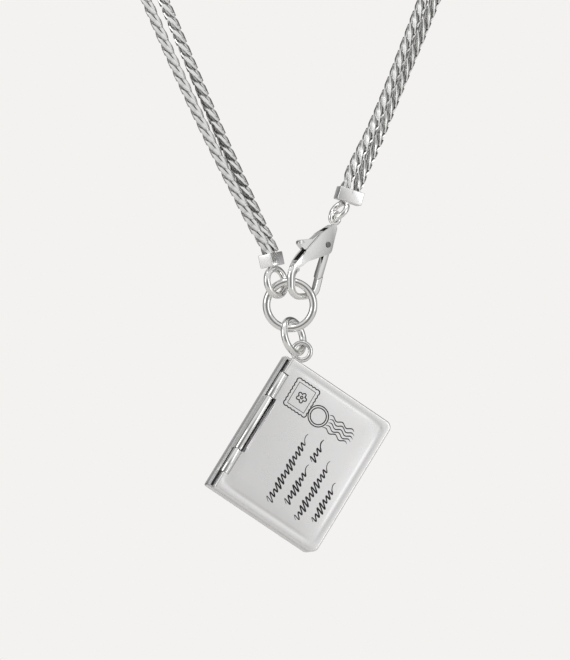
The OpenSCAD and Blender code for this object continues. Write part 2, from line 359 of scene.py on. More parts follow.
    @classmethod
    def slice(cls, obj: bpy.types.Object, places: Iterable[float], way: Point) -> None:
        """Cuts edges into a solid where planes pass through it.

        Args:
            obj: The solid.
            places: How far along the way each plane lies.
            way: The way that the planes face.
        """
        cls.only(obj)
        bpy.ops.object.mode_set(mode="EDIT")
        for place in places:
            bpy.ops.mesh.select_all(action="SELECT")
            bpy.ops.mesh.bisect(plane_co=tuple(place * c for c in way), plane_no=way)
        bpy.ops.object.mode_set(mode="OBJECT")

    @classmethod
    def merge(cls, obj: bpy.types.Object, distance: float) -> None:
        """Merges vertices that lie together and turns the faces outwards.

        Args:
            obj: The piece.
            distance: How close together such vertices lie.
        """
        cls.only(obj)
        bpy.ops.object.mode_set(mode="EDIT")
        bpy.ops.mesh.select_all(action="SELECT")
        bpy.ops.mesh.remove_doubles(threshold=distance)
        bpy.ops.mesh.normals_make_consistent(inside=False)
        bpy.ops.object.mode_set(mode="OBJECT")

    @staticmethod
    def every(a: Vector, b: Vector) -> bool:
        """Picks every edge, whatever its two ends."""
        return True

    @classmethod
    def round_edges(
        cls, obj: bpy.types.Object, pick: Callable[[Vector, Vector], bool], width: float, steps: int
    ) -> None:
        """Rounds the edges that a test picks.

        Args:
            obj: The piece.
            pick: Says of an edge's two ends whether it is rounded.
            width: How far the rounding reaches from the edge.
            steps: The number of faces across the rounding.
        """
        cls.only(obj)
        bpy.ops.object.mode_set(mode="EDIT")
        bpy.ops.mesh.select_mode(type="EDGE")
        bpy.ops.mesh.select_all(action="DESELECT")
        bpy.ops.object.mode_set(mode="OBJECT")
        mesh = obj.data
        for edge in mesh.edges:
            ends = [mesh.vertices[v].co for v in edge.vertices]
            edge.select = bool(pick(ends[0], ends[1]))
        bpy.ops.object.mode_set(mode="EDIT")
        bpy.ops.mesh.bevel(offset=width, segments=steps, affect="EDGES", clamp_overlap=True)
        bpy.ops.object.mode_set(mode="OBJECT")

    @classmethod
    def modifier(cls, obj: bpy.types.Object, kind: str, **settings: object) -> None:
        """Adds a modifier and applies it.

        Args:
            obj: The piece.
            kind: The modifier's type.
            **settings: The modifier's settings.
        """
        cls.only(obj)
        modifier = obj.modifiers.new(kind.lower(), kind)
        for key, value in settings.items():
            setattr(modifier, key, value)
        bpy.ops.object.modifier_apply(modifier=modifier.name)

    @classmethod
    def soften(cls, obj: bpy.types.Object, width: float, steps: int = 3, angle: float = 40.0) -> None:
        """Rounds every edge that is sharper than an angle in degrees."""
        cls.modifier(
            obj, "BEVEL", width=width, segments=steps, limit_method="ANGLE",
            angle_limit=math.radians(angle), use_clamp_overlap=True,
        )

    @classmethod
    def cut(cls, obj: bpy.types.Object, tool: bpy.types.Object) -> None:
        """Cuts one solid out of another and removes the tool."""
        cls.modifier(obj, "BOOLEAN", operation="DIFFERENCE", object=tool, solver="EXACT")
        bpy.data.objects.remove(tool)

    @classmethod
    def fuse(cls, obj: bpy.types.Object, other: bpy.types.Object) -> None:
        """Fuses a second solid into the first."""
        cls.modifier(obj, "BOOLEAN", operation="UNION", object=other, solver="EXACT")
        bpy.data.objects.remove(other)

    @classmethod
    def join(cls, name: str, parts: Sequence[bpy.types.Object]) -> bpy.types.Object:
        """Joins objects into one.

        Args:
            name: The name that it gets.
            parts: The objects.

        Returns:
            The joined object.
        """
        cls.only(*parts)
        bpy.ops.object.join()
        obj = bpy.context.object
        obj.name = name
        obj.data.name = name
        return obj

    @classmethod
    def seat(cls, obj: bpy.types.Object, matrix: Matrix) -> bpy.types.Object:
        """Moves a piece's mesh to its place on the necklace.

        Args:
            obj: The piece.
            matrix: The matrix from the piece's own frame, in millimetres, to the necklace's, in metres.

        Returns:
            The same piece.
        """
        obj.data.transform(matrix)
        obj.data.update()
        return obj

    @classmethod
    def smooth(cls, obj: bpy.types.Object, edge: Edge) -> None:
        """Shades a piece smooth, but for its crisp edges."""
        cls.only(obj)
        bpy.ops.object.shade_smooth_by_angle(angle=math.radians(edge.value))


class Nodes:
    """Builds the node groups that the finishes share.

    Scales count in noise cells to the metre.
    """

    MARKS_SCALE: float = 420.0
    LINES_WEIGHT: float = 0.35
    PATCHES_SCALE: float = 1500.0

    def __init__(self) -> None:
        """Starts with no group built."""
        self._groups: dict[str, bpy.types.NodeTree] = {}

    @staticmethod
    def _socket(tree: bpy.types.NodeTree, name: str, way: str, start: float | None = None) -> None:
        """Adds a number socket to a group's interface.

        Args:
            tree: The group.
            name: The socket's name.
            way: INPUT or OUTPUT.
            start: The value that an input starts with.
        """
        socket = tree.interface.new_socket(name, in_out=way, socket_type="NodeSocketFloat")
        if start is not None:
            socket.default_value = start

    def hairlines(self) -> bpy.types.NodeTree:
        """Builds the group for fine polishing lines and handling marks.

        Returns:
            A group with inputs Fineness, Stretch and Base, Spread for roughness, and outputs Height
            and Roughness.
        """
        if "hairlines" in self._groups:
            return self._groups["hairlines"]
        tree = bpy.data.node_groups.new("hairlines", "ShaderNodeTree")
        for name, start in (("Fineness", 9000.0), ("Stretch", 0.06), ("Base", 0.16), ("Spread", 0.08)):
            self._socket(tree, name, "INPUT", start)
        for name in ("Height", "Roughness"):
            self._socket(tree, name, "OUTPUT")
        new, link = tree.nodes.new, tree.links.new
        inside, outside = new("NodeGroupInput"), new("NodeGroupOutput")
        place = new("ShaderNodeTexCoord")
        stretch = new("ShaderNodeCombineXYZ")
        stretch.inputs["X"].default_value = 1.0
        stretch.inputs["Y"].default_value = 1.0
        scaled = new("ShaderNodeVectorMath")
        scaled.operation = "MULTIPLY"
        lines = new("ShaderNodeTexNoise")
        lines.inputs["Detail"].default_value = 3.0
        marks = new("ShaderNodeTexNoise")
        marks.inputs["Scale"].default_value = self.MARKS_SCALE
        marks.inputs["Detail"].default_value = 5.0
        marks.inputs["Roughness"].default_value = 0.65
        both = new("ShaderNodeMath")
        both.operation = "MULTIPLY_ADD"
        both.inputs[1].default_value = self.LINES_WEIGHT
        spread = new("ShaderNodeMath")
        spread.operation = "MULTIPLY_ADD"
        link(inside.outputs["Stretch"], stretch.inputs["Z"])
        link(place.outputs["Object"], scaled.inputs[0])
        link(stretch.outputs["Vector"], scaled.inputs[1])
        link(scaled.outputs["Vector"], lines.inputs["Vector"])
        link(inside.outputs["Fineness"], lines.inputs["Scale"])
        link(place.outputs["Object"], marks.inputs["Vector"])
        link(lines.outputs["Fac"], both.inputs[0])
        link(marks.outputs["Fac"], both.inputs[2])
        link(both.outputs["Value"], spread.inputs[0])
        link(inside.outputs["Spread"], spread.inputs[1])
        link(inside.outputs["Base"], spread.inputs[2])
        link(lines.outputs["Fac"], outside.inputs["Height"])
        link(spread.outputs["Value"], outside.inputs["Roughness"])
        self._groups["hairlines"] = tree
        return tree

    def painted_shade(self) -> bpy.types.NodeTree:
        """Builds the group that paints shade into silver's recesses, from how open each place is.

        Returns:
            A group with inputs Deep, Clear and Patchy, and the output Mask, 0 deep and 1 clear.
        """
        if "painted_shade" in self._groups:
            return self._groups["painted_shade"]
        tree = bpy.data.node_groups.new("painted_shade", "ShaderNodeTree")
        for name, start in (("Deep", 0.3), ("Clear", 0.62), ("Patchy", 0.12)):
            self._socket(tree, name, "INPUT", start)
        self._socket(tree, "Mask", "OUTPUT")
        new, link = tree.nodes.new, tree.links.new
        inside, outside = new("NodeGroupInput"), new("NodeGroupOutput")
        depth = new("ShaderNodeAttribute")
        depth.attribute_name = "openness"
        place = new("ShaderNodeTexCoord")
        patches = new("ShaderNodeTexNoise")
        patches.inputs["Scale"].default_value = self.PATCHES_SCALE
        patches.inputs["Detail"].default_value = 3.0
        centred = new("ShaderNodeMath")
        centred.operation = "SUBTRACT"
        centred.inputs[1].default_value = 0.5
        uneven = new("ShaderNodeMath")
        uneven.operation = "MULTIPLY_ADD"
        mapped = new("ShaderNodeMapRange")
        mapped.interpolation_type = "SMOOTHSTEP"
        link(place.outputs["Object"], patches.inputs["Vector"])
        link(patches.outputs["Fac"], centred.inputs[0])
        link(centred.outputs["Value"], uneven.inputs[0])
        link(inside.outputs["Patchy"], uneven.inputs[1])
        link(depth.outputs["Fac"], uneven.inputs[2])
        link(uneven.outputs["Value"], mapped.inputs["Value"])
        link(inside.outputs["Deep"], mapped.inputs["From Min"])
        link(inside.outputs["Clear"], mapped.inputs["From Max"])
        link(mapped.outputs["Result"], outside.inputs["Mask"])
        self._groups["painted_shade"] = tree
        return tree


@dataclass(frozen=True)
class Silver:
    """A silver finish with fine lines and handling marks, which may have shade painted into its recesses.

    The marks and lines vary the roughness upwards from base, by spread. The lines are drawn out along
    Z by a small stretch. Where shade is painted, the colour is dark up to the openness deep and bright from
    clear on.
    """

    name: str
    tint: tuple[float, float, float] = (0.87, 0.87, 0.86)
    dark: tuple[float, float, float] = (0.06, 0.06, 0.065)
    base: float = 0.1
    spread: float = 0.1
    fineness: float = 9000.0
    stretch: float = 0.08
    bump: float = 0.05
    bump_depth: float = 0.00002
    paints_shade: bool = False
    deep: float = 0.3
    clear: float = 0.62

    def material(self, nodes: Nodes) -> bpy.types.Material:
        """Builds the material.

        Args:
            nodes: The shared node groups.

        Returns:
            The material.
        """
        material = bpy.data.materials.new(self.name)
        material.use_nodes = True
        tree = material.node_tree
        shader = tree.nodes["Principled BSDF"]
        shader.inputs["Metallic"].default_value = 1.0
        shader.inputs["Base Color"].default_value = (*self.tint, 1.0)
        lines = tree.nodes.new("ShaderNodeGroup")
        lines.node_tree = nodes.hairlines()
        lines.inputs["Fineness"].default_value = self.fineness
        lines.inputs["Stretch"].default_value = self.stretch
        lines.inputs["Base"].default_value = self.base
        lines.inputs["Spread"].default_value = self.spread
        bump = tree.nodes.new("ShaderNodeBump")
        bump.inputs["Strength"].default_value = self.bump
        bump.inputs["Distance"].default_value = self.bump_depth
        tree.links.new(lines.outputs["Height"], bump.inputs["Height"])
        tree.links.new(bump.outputs["Normal"], shader.inputs["Normal"])
        tree.links.new(lines.outputs["Roughness"], shader.inputs["Roughness"])
        # Painted shade: the dark colour is mixed in where the surface is least open.
        if self.paints_shade:
            painted_shade = tree.nodes.new("ShaderNodeGroup")
            painted_shade.node_tree = nodes.painted_shade()
            painted_shade.inputs["Deep"].default_value = self.deep
            painted_shade.inputs["Clear"].default_value = self.clear
            mix = tree.nodes.new("ShaderNodeMix")
            mix.data_type = "RGBA"
            mix.inputs["A"].default_value = (*self.dark, 1.0)
            mix.inputs["B"].default_value = (*self.tint, 1.0)
            tree.links.new(painted_shade.outputs["Mask"], mix.inputs["Factor"])
            tree.links.new(mix.outputs["Result"], shader.inputs["Base Color"])
        return material


@dataclass(frozen=True)
class BlackFill:
    """The matt black that fills an engraved line."""

    name: str = "black_fill"
    colour: tuple[float, float, float] = (0.012, 0.012, 0.013)
    grey: tuple[float, float, float] = (0.05, 0.05, 0.052)
    roughness: float = 0.55
    gloss: float = 0.1
    grain: float = 5000.0

    def material(self) -> bpy.types.Material:
        """Builds the material.

        Returns:
            The material.
        """
        material = bpy.data.materials.new(self.name)
        material.use_nodes = True
        tree = material.node_tree
        shader = tree.nodes["Principled BSDF"]
        shader.inputs["Roughness"].default_value = self.roughness
        shader.inputs["Specular IOR Level"].default_value = self.gloss
        place = tree.nodes.new("ShaderNodeTexCoord")
        grain = tree.nodes.new("ShaderNodeTexNoise")
        grain.inputs["Scale"].default_value = self.grain
        grain.inputs["Detail"].default_value = 4.0
        mix = tree.nodes.new("ShaderNodeMix")
        mix.data_type = "RGBA"
        mix.inputs["A"].default_value = (*self.colour, 1.0)
        mix.inputs["B"].default_value = (*self.grey, 1.0)
        tree.links.new(place.outputs["Object"], grain.inputs["Vector"])
        tree.links.new(grain.outputs["Fac"], mix.inputs["Factor"])
        tree.links.new(mix.outputs["Result"], shader.inputs["Base Color"])
        return material


class Finishes:
    """Every material of the necklace, built once."""

    def __init__(self) -> None:
        """Builds the materials."""
        nodes = Nodes()
        # The chain's finish paints shade into the creases between its rings, from each vertex's openness.
        self.chain = Silver(
            "woven_silver", tint=(0.89, 0.89, 0.88), base=0.14, spread=0.1, bump=0.03, paints_shade=True,
            deep=0.16, clear=0.6,
        ).material(nodes)
        # Darker silver for the chain's core: painted shade seen through the gaps between the rings.
        self.core = Silver("core_painted_shade", tint=(0.55, 0.55, 0.55), base=0.4, spread=0.1).material(nodes)
        self.polished = Silver("polished_silver", base=0.03, spread=0.06, bump=0.015).material(nodes)
        self.plate = Silver(
            "brushed_plate", base=0.16, spread=0.12, fineness=14000.0, stretch=0.05, bump=0.12
        ).material(nodes)
        self.satin = Silver(
            "satin_face", tint=(0.92, 0.912, 0.916), base=0.22, spread=0.1, fineness=16000.0,
            stretch=0.5, bump=0.05,
        ).material(nodes)
        # Dark silver laid on faces inside slots and gaps: painted shade.
        self.shade = Silver("painted_recess_shade", tint=(0.2, 0.2, 0.2), base=0.35, spread=0.15).material(nodes)
        self.black = BlackFill().material()


class Piece:
    """Hands a finished mesh to the frame."""

    @staticmethod
    def hand_over(
        obj: bpy.types.Object, body: Body, slot: Slot, material: bpy.types.Material | None = None,
        nodes: Iterable[str] = (),
    ) -> None:
        """Dresses a piece, makes it ride and hides the CAD nodes that it stands for.

        Args:
            obj: The piece.
            body: The body that it rides on.
            slot: The record's material slot; not used.
            material: Its material, when the piece has one only.
            nodes: The CAD nodes that it replaces.
        """
        if material is not None:
            obj.data.materials.clear()
            obj.data.materials.append(material)
        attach(obj, body.value)
        names = list(nodes)
        if names:
            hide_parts(*names)
        LOG.info("%s: %d faces on %s", obj.name, len(obj.data.polygons), body.value)


class Strand(Enum):
    """The two chains, with the side of the route's middle line that each lies on."""

    OUTER = 1
    INNER = -1


@dataclass
class CapPlaces:
    """Where the end caps and their rings are, from the rings that carry them."""

    left_ring: Vector = field(default_factory=lambda: Vector((-2.4, -0.3, 3.95)))
    left_ring_radius: float = 2.325
    left_wire: float = 0.6
    left_ring_turn: float = 50.0
    left_lean: float = -12.0
    left_turn: float = 62.0
    right_ring_radius: float = 1.65
    right_wire: float = 0.5
    right_ring_lean: float = 38.0
    right_turn: float = 18.0
    right_lean: float = 17.0
    right_shift: float = 0.5
    clasp_turn: float = 40.0
    clasp_at: Point = (0.0, -1.4, 0.0)
    loop_at: Vector = field(default_factory=lambda: Vector((10.1, 0.0, 15.05)))
    solder: float = 0.2
    height: float = 2.3

    @property
    def left_axis(self) -> Vector:
        """The way up out of the left cap."""
        return leant((0, 0, 1), 0, self.left_lean)

    @property
    def left_cap(self) -> Vector:
        """The left cap's middle."""
        reach = self.left_ring_radius + self.left_wire - self.solder + self.height / 2
        return self.left_ring + reach * self.left_axis

    @property
    def left_pair(self) -> Vector:
        """The way from the inner strand to the outer one in the left cap."""
        turn = math.radians(self.left_turn)
        return leant((-math.cos(turn), -math.sin(turn), 0), 0, self.left_lean)

    @property
    def right_ring(self) -> Vector:
        """The right cap ring's middle."""
        loop = Vector(self.clasp_at) + leant(self.loop_at, self.clasp_turn, 0)
        return loop + self.right_ring_radius * leant((0, 0, 1), self.clasp_turn, self.right_ring_lean)

    @property
    def right_axis(self) -> Vector:
        """The way up out of the right cap."""
        return leant((0, 0, 1), self.right_turn, self.right_lean)

    @property
    def right_pair(self) -> Vector:
        """The way from the inner strand to the outer one in the right cap."""
        return leant((1, 0, 0), self.right_turn, self.right_lean)

    @property
    def right_cap(self) -> Vector:
        """The right cap's middle.

        Returns:
            The middle, which is a little outwards of its ring.
        """
        reach = self.right_ring_radius + self.right_wire - self.solder
        foot = self.right_ring + reach * leant((0, 0, 1), self.clasp_turn, self.right_ring_lean)
        return foot + self.height / 2 * self.right_axis + self.right_shift * self.right_pair


@dataclass
class Route:
    """The middle line of the two chains, from the left cap by way of the nape to the right cap.

    A row is a place, then the way from the inner strand to the outer one, then their distance.
    """

    caps: CapPlaces
    gap: float = 2.05
    seat: float = 0.15
    exit: float = 1.6
    steps: int = 24

    def rows(self) -> np.ndarray:
        """Lists the places that the chains pass, one by one but for those in the caps.

        Returns:
            The rows, from the left cap to the right one.
        """
        caps = self.caps

        def row(place: Vector, pair: Vector) -> list[float]:
            """Makes a row beside a cap."""
            return [*place, *pair, self.gap]

        hanging = [
            [-5.8, -0.2, 14, -0.6, -0.8, 0, 2.2],
            [-13.5, 0.8, 30.2, -0.85, -0.5, -0.2, 2.4],
            [-23.2, 2.6, 52.4, -1, 0, -0.4, 2.7],
            [-32.6, 5.5, 75, -1, 0, -0.4, 2.7],
            [-41, 10, 98, -1, 0, -0.4, 2.7],
            [-49.5, 18, 122, -1, 0, -0.4, 2.7],
            [-57, 31, 146, -1, -0.1, -0.4, 2.6],
            [-62, 49, 165.5, -0.9, -0.1, -0.4, 2.5],
            [-62, 70.5, 179, -0.8, 0, -0.6, 2.5],
            [-54.5, 91, 187, -0.6, 0.2, -0.8, 2.5],
            [-39.5, 107, 191, -0.4, 0.3, -0.9, 2.5],
            [-20.5, 115.5, 193, -0.2, 0.35, -0.9, 2.5],
            [0, 118, 193, 0, 0.35, -0.9, 2.5],
            [20.5, 115.5, 193, 0.2, 0.35, -0.9, 2.5],
            [39.5, 107, 191, 0.4, 0.3, -0.9, 2.5],
            [54.5, 91, 187, 0.6, 0.2, -0.8, 2.5],
            [62, 70.5, 179, 0.8, 0, -0.6, 2.5],
            [62, 50, 165.5, 0.9, -0.1, -0.4, 2.5],
            [57, 34, 146, 1, 0, -0.4, 2.5],
            [49.5, 23, 122, 1, 0, -0.4, 2.5],
            [41, 17, 98, 1, 0, -0.4, 2.5],
            [32.7, 13.5, 75, 0.95, 0.2, -0.3, 2.4],
            [23.9, 11, 52.4, 0.85, 0.5, -0.2, 2.25],
            [14.6, 9, 29.4, 0.75, 0.65, 0, 2.15],
        ]
        first = [
            row(caps.left_cap + self.seat * caps.left_axis, caps.left_pair),
            row(caps.left_cap + self.exit * caps.left_axis, caps.left_pair),
        ]
        last = [
            row(caps.right_cap + self.exit * caps.right_axis, caps.right_pair),
            row(caps.right_cap + self.seat * caps.right_axis, caps.right_pair),
        ]
        return np.array(first + hanging + last, float)

    def curve(self) -> np.ndarray:
        """Draws the smooth curve through the rows.

        Returns:
            Closely spaced rows along it.
        """
        rows = self.rows()
        spans = np.linalg.norm(np.diff(rows[:, :3], axis=0), axis=1)
        chords = np.diff(rows, axis=0) / spans[:, None]
        middle = (chords[:-1] * spans[1:, None] + chords[1:] * spans[:-1, None]) / (
            spans[1:, None] + spans[:-1, None]
        )
        slopes = np.vstack([chords[:1], middle, chords[-1:]])
        curve = []
        for i, span in enumerate(spans):
            for t in np.arange(self.steps) / self.steps:
                curve.append(
                    (2 * t**3 - 3 * t**2 + 1) * rows[i]
                    + (t**3 - 2 * t**2 + t) * span * slopes[i]
                    + (3 * t**2 - 2 * t**3) * rows[i + 1]
                    + (t**3 - t**2) * span * slopes[i + 1]
                )
        curve.append(rows[-1])
        return np.array(curve)

    def strand(self, strand: Strand) -> tuple[np.ndarray, np.ndarray]:
        """Finds one strand's middle line.

        Args:
            strand: The strand.

        Returns:
            Its places and its headings, as rows of three.
        """
        curve = self.curve()
        places = curve[:, :3]
        heading = np.gradient(places, axis=0)
        heading /= np.linalg.norm(heading, axis=1)[:, None]
        out = curve[:, 3:6]
        out = out - (out * heading).sum(1)[:, None] * heading
        out /= np.linalg.norm(out, axis=1)[:, None]
        return places + strand.value * curve[:, 6:7] / 2 * out, heading


@dataclass
class WovenChain:
    """One square chain, woven from slanting oval rings that lie in two columns on a core.

    The columns face one way at the left cap and another at the right cap, and turn slowly between them.
    """

    strand: Strand
    route: Route
    finishes: Finishes
    left_face: Point
    right_face: Point
    turn_from: float = 0.2
    turn_over: float = 0.6
    end_room: float = 2.0
    # The middle line of a ring, one end of which dives under its neighbour.
    pitch: float = 2.45
    half_length: float = 1.85
    half_width: float = 0.37
    slant: float = -0.28
    outer_x: float = 0.73
    hook: float = 0.98
    hook_power: float = 2.8
    dip: float = 0.12
    # The wire, kept inside the chain's rounded corner.
    wire: float = 0.38
    squareness: float = 0.6
    flatness: float = 0.6
    corner: float = 0.96
    turns: int = 12
    sides: int = 6
    # The painted shade in the creases beside the wire, which ends before the chain's sides.
    crease: float = 0.36
    crease_end: float = 0.95
    crease_fade: float = 0.3
    # The core, darker silver that paints the shade seen through the gaps between the rings, which skips
    # most of the route's closely spaced places.
    core: float = 0.5
    core_step: int = 6

    def _middle(self, angle: float) -> np.ndarray:
        """Finds a place on the oval's middle line.

        Args:
            angle: The angle round the oval, in radians.

        Returns:
            The place, as [outward, across, along the chain].
        """
        along = self.half_length * math.cos(angle)
        across = self.half_width * math.sin(angle)
        tuck = ((1 - along / self.half_length) / 2) ** self.hook_power
        return np.array([
            self.outer_x - self.hook * tuck - self.dip * math.sin(angle) ** 2,
            along * math.sin(self.slant) + across * math.cos(self.slant),
            along * math.cos(self.slant) - across * math.sin(self.slant),
        ])

    def _shape(self, angle: float, section: float) -> np.ndarray:
        """Finds a place on the surface of the wire, which is flat on top with steep shoulders.

        Args:
            angle: The angle round the oval, in radians.
            section: The angle round the wire, in radians.

        Returns:
            The place, as [outward, across, along the chain].
        """
        step = math.pi / self.turns
        on = self._middle(angle + step) - self._middle(angle - step)
        on /= np.linalg.norm(on)
        face = np.array([1.0, 0.0, 0.0]) - on[0] * on
        face /= np.linalg.norm(face)
        away = np.cross(on, face)
        if away @ (self._middle(angle) - self._middle(angle + math.pi)) < 0:
            away = -away
        beside = math.copysign(abs(math.cos(section)) ** self.squareness, math.cos(section))
        place = self._middle(angle) + self.wire * (
            beside * away - self.flatness * math.sin(section) * face
        )
        place[:2] *= min(1.0, self.corner / math.hypot(place[0], place[1]))
        return place

    def _ring(self) -> tuple[np.ndarray, np.ndarray, np.ndarray]:
        """Shapes one oval ring from a torus, whose angles say where each vertex goes.

        Returns:
            Its vertices, as [outward, across, along the chain], its faces, and how open each
            vertex is: 1 on the chain's faces and less in the creases beside the wire, where the chain's
                finish paints shade.
        """
        radius = 1.0
        torus = Bench.ring("oval_ring", radius, radius / 3, self.turns, self.sides)
        mesh = torus.data
        faces = np.array([list(face.vertices) for face in mesh.polygons])
        shaped, clear = [], []
        for vertex in mesh.vertices:
            x, y, z = vertex.co
            angle = math.atan2(y, x) + math.pi / self.turns
            section = math.atan2(z, math.hypot(x, y) - radius)
            place = self._shape(angle, section)
            shaped.append(place)
            # Creases beside the wire count as less open, so that painted shade darkens them.
            fade = min(1.0, max(0.0, (self.crease_end - abs(place[1])) / self.crease_fade))
            beside = math.cos(section) ** 2 * fade
            clear.append(max(abs(place[0]), abs(place[1])) - self.crease * beside)
        bpy.data.objects.remove(torus)
        bpy.data.meshes.remove(mesh)
        return np.array(shaped), faces, np.array(clear)

    def _seats(self, places: np.ndarray, heading: np.ndarray) -> tuple[np.ndarray, ...]:
        """Spaces the rings along the strand and turns them.

        Args:
            places: The strand's middle line.
            heading: The way on at each of its places.

        Returns:
            Each ring's place, the way that its column faces, the way across and the way along.
        """
        walked = np.concatenate([[0], np.cumsum(np.linalg.norm(np.diff(places, axis=0), axis=1))])
        count = int((walked[-1] - 2 * self.end_room) / self.pitch)
        spare = (walked[-1] - count * self.pitch) / 2
        at = spare + np.arange(count + 1) * self.pitch
        spots = np.stack([np.interp(at, walked, places[:, k]) for k in range(3)], 1)
        along = -np.stack([np.interp(at, walked, heading[:, k]) for k in range(3)], 1)
        along /= np.linalg.norm(along, axis=1)[:, None]
        share = eased(np.clip((at / walked[-1] - self.turn_from) / self.turn_over, 0, 1))[:, None]
        face = (1 - share) * np.array(self.left_face) + share * np.array(self.right_face)
        face -= (face * along).sum(1)[:, None] * along
        face /= np.linalg.norm(face, axis=1)[:, None]
        return spots, face, np.cross(along, face), along

    def _links(self, name: str, places: np.ndarray, heading: np.ndarray) -> bpy.types.Object:
        """Lays the rings along the strand, one in each column at every place.

        Args:
            name: The object's name.
            places: The strand's middle line.
            heading: The way on at each of its places.

        Returns:
            The rings, with how open each vertex is as an attribute.
        """
        shape, ring_faces, clear = self._ring()
        vertices, faces, openness = [], [], []
        for spot, face, across, along in zip(*self._seats(places, heading)):
            for side in (1, -1):
                faces.append(ring_faces + len(vertices) * len(shape))
                flat = shape[:, :1] * face + shape[:, 1:2] * across
                vertices.append(spot + side * flat + shape[:, 2:] * along)
                openness.append(clear)
        mesh = bpy.data.meshes.new(name)
        mesh.from_pydata(np.concatenate(vertices).tolist(), [], np.concatenate(faces).tolist())
        mesh.attributes.new("openness", "FLOAT", "POINT").data.foreach_set(
            "value", np.concatenate(openness).astype(np.float32)
        )
        mesh.materials.append(self.finishes.chain)
        links = bpy.data.objects.new(name, mesh)
        bpy.context.scene.collection.objects.link(links)
        return links

    def build(self) -> None:
        """Makes the links and the darker core that paints shade into the gaps between them, and hands them
        over.
        """
        name = f"{self.strand.name.lower()}_woven_chain"
        places, heading = self.route.strand(self.strand)
        links = self._links(name, places, heading)
        line = places[self.core_step : -self.core_step : self.core_step]
        core = Bench.wire("core", [tuple(place) for place in line], self.core, roundness=1)
        core.data.materials.append(self.finishes.core)
        chain = Bench.join(name, [links, core])
        Bench.smooth(chain, Edge.LINK)
        Bench.seat(chain, placed((0, 0, 0)))
        Piece.hand_over(chain, Body.CHAIN, Slot.CHAIN, nodes=[f"{self.strand.name.lower()}_strand"])


@dataclass
class EndCaps:
    """The two box caps, each with its ring soldered under it."""

    places: CapPlaces
    finishes: Finishes
    width: float = 4.5
    depth: float = 2.5
    wall: float = 0.2
    rounding: float = 0.16
    slot_width: float = 0.16
    slot_depth: float = 0.09
    left_slot: float = 0.68
    right_slot: float = 0.3

    def _cap(self, slot_share: float) -> bpy.types.Object:
        """Makes a cap in its own frame.

        Args:
            slot_share: The share of the height that the slot on the wide faces takes.

        Returns:
            The cap.
        """
        w, d, h = self.width / 2, self.depth / 2, self.places.height / 2
        cap = Bench.block("cap", (-w, -d, -h), (w, d, h))
        Bench.round_edges(cap, Bench.every, self.rounding, steps=4)
        inner = self.wall
        pocket = Bench.block("pocket", (inner - w, inner - d, 0), (w - inner, d - inner, h + PAST))
        Bench.cut(cap, pocket)
        for face in (-d, d):
            low = (-self.slot_width / 2, face - self.slot_depth, h - 2 * h * slot_share)
            high = (self.slot_width / 2, face + self.slot_depth, h + PAST)
            Bench.cut(cap, Bench.block("slot", low, high))
        Bench.smooth(cap, Edge.CAP)
        return cap

    def _solder(self, name: str, cap: bpy.types.Object, ring: bpy.types.Object, node: str) -> None:
        """Joins a cap and its ring, each in its own finish, and hands them over.

        Args:
            name: The piece's name.
            cap: The cap.
            ring: The ring.
            node: The CAD node that the piece replaces.
        """
        cap.data.materials.append(self.finishes.satin)
        ring.data.materials.append(self.finishes.polished)
        piece = Bench.join(name, [cap, ring])
        Piece.hand_over(piece, Body.CHAIN, Slot.POLISHED, nodes=[node])

    def build(self) -> None:
        """Makes both caps with their rings."""
        p = self.places
        turns = (Axis.Y, p.left_lean), (Axis.Z, p.left_turn)
        ring_turns = (Axis.Y, p.left_lean), (Axis.Z, p.left_ring_turn), (Axis.X, 90)
        cap = Bench.seat(self._cap(self.left_slot), placed(p.left_cap, *turns))
        ring = Bench.ring("ring", p.left_ring_radius, p.left_wire)
        Bench.seat(ring, placed(p.left_ring, *ring_turns))
        self._solder("left_cap_and_ring", cap, ring, "left_end_cap")
        turns = (Axis.Z, p.right_turn), (Axis.Y, p.right_lean)
        ring_turns = (Axis.Z, p.clasp_turn), (Axis.Y, p.right_ring_lean + 90)
        cap = Bench.seat(self._cap(self.right_slot), placed(p.right_cap, *turns))
        ring = Bench.ring("ring", p.right_ring_radius, p.right_wire)
        Bench.seat(ring, placed(p.right_ring, *ring_turns))
        self._solder("right_cap_and_ring", cap, ring, "right_end_cap")


@dataclass
class WireRings:
    """The large ring and the link ring that hangs on it."""

    finishes: Finishes
    large_radius: float = 4.04
    large_wire: float = 0.67
    link_radius: float = 2.92
    link_wire: float = 0.6
    link_top: Point = (-0.1, 0.0, -2.6)
    link_lean: float = 14.4
    link_turn: float = 58.5
    hang_tilt: float = -3.9

    @property
    def hanging(self) -> Matrix:
        """The swing, in metres, about the large ring's foot that brings the hanging weight under it."""
        foot = Matrix.Translation((RING_AT - Vector((0, 0, self.large_radius))) * MM)
        return foot @ Matrix.Rotation(math.radians(self.hang_tilt), 4, "X") @ foot.inverted()

    @property
    def link_down(self) -> Vector:
        """The way from the link ring's top to its foot."""
        lean = math.radians(self.link_lean)
        return Vector((math.sin(lean), 0, -math.cos(lean)))

    @property
    def link_foot(self) -> Vector:
        """The place in the middle of the wire at the link ring's foot."""
        return Vector(self.link_top) + 2 * self.link_radius * self.link_down

    def build(self) -> None:
        """Makes both rings and hands them over."""
        large = Bench.ring("large_wire_ring", self.large_radius, self.large_wire, turns=128, sides=28)
        Bench.seat(large, placed((0, 0, 0), (Axis.X, 90)))
        Piece.hand_over(large, Body.CHAIN, Slot.POLISHED, self.finishes.polished, ["large_ring"])
        link = Bench.ring("link_wire_ring", self.link_radius, self.link_wire, turns=112, sides=26)
        middle = Vector(self.link_top) + self.link_radius * self.link_down
        turns = (Axis.Y, -self.link_lean), (Axis.Z, self.link_turn), (Axis.X, 90)
        Bench.seat(link, self.hanging @ placed(middle, *turns))
        Piece.hand_over(link, Body.LINK, Slot.POLISHED, self.finishes.polished, ["link_ring"])


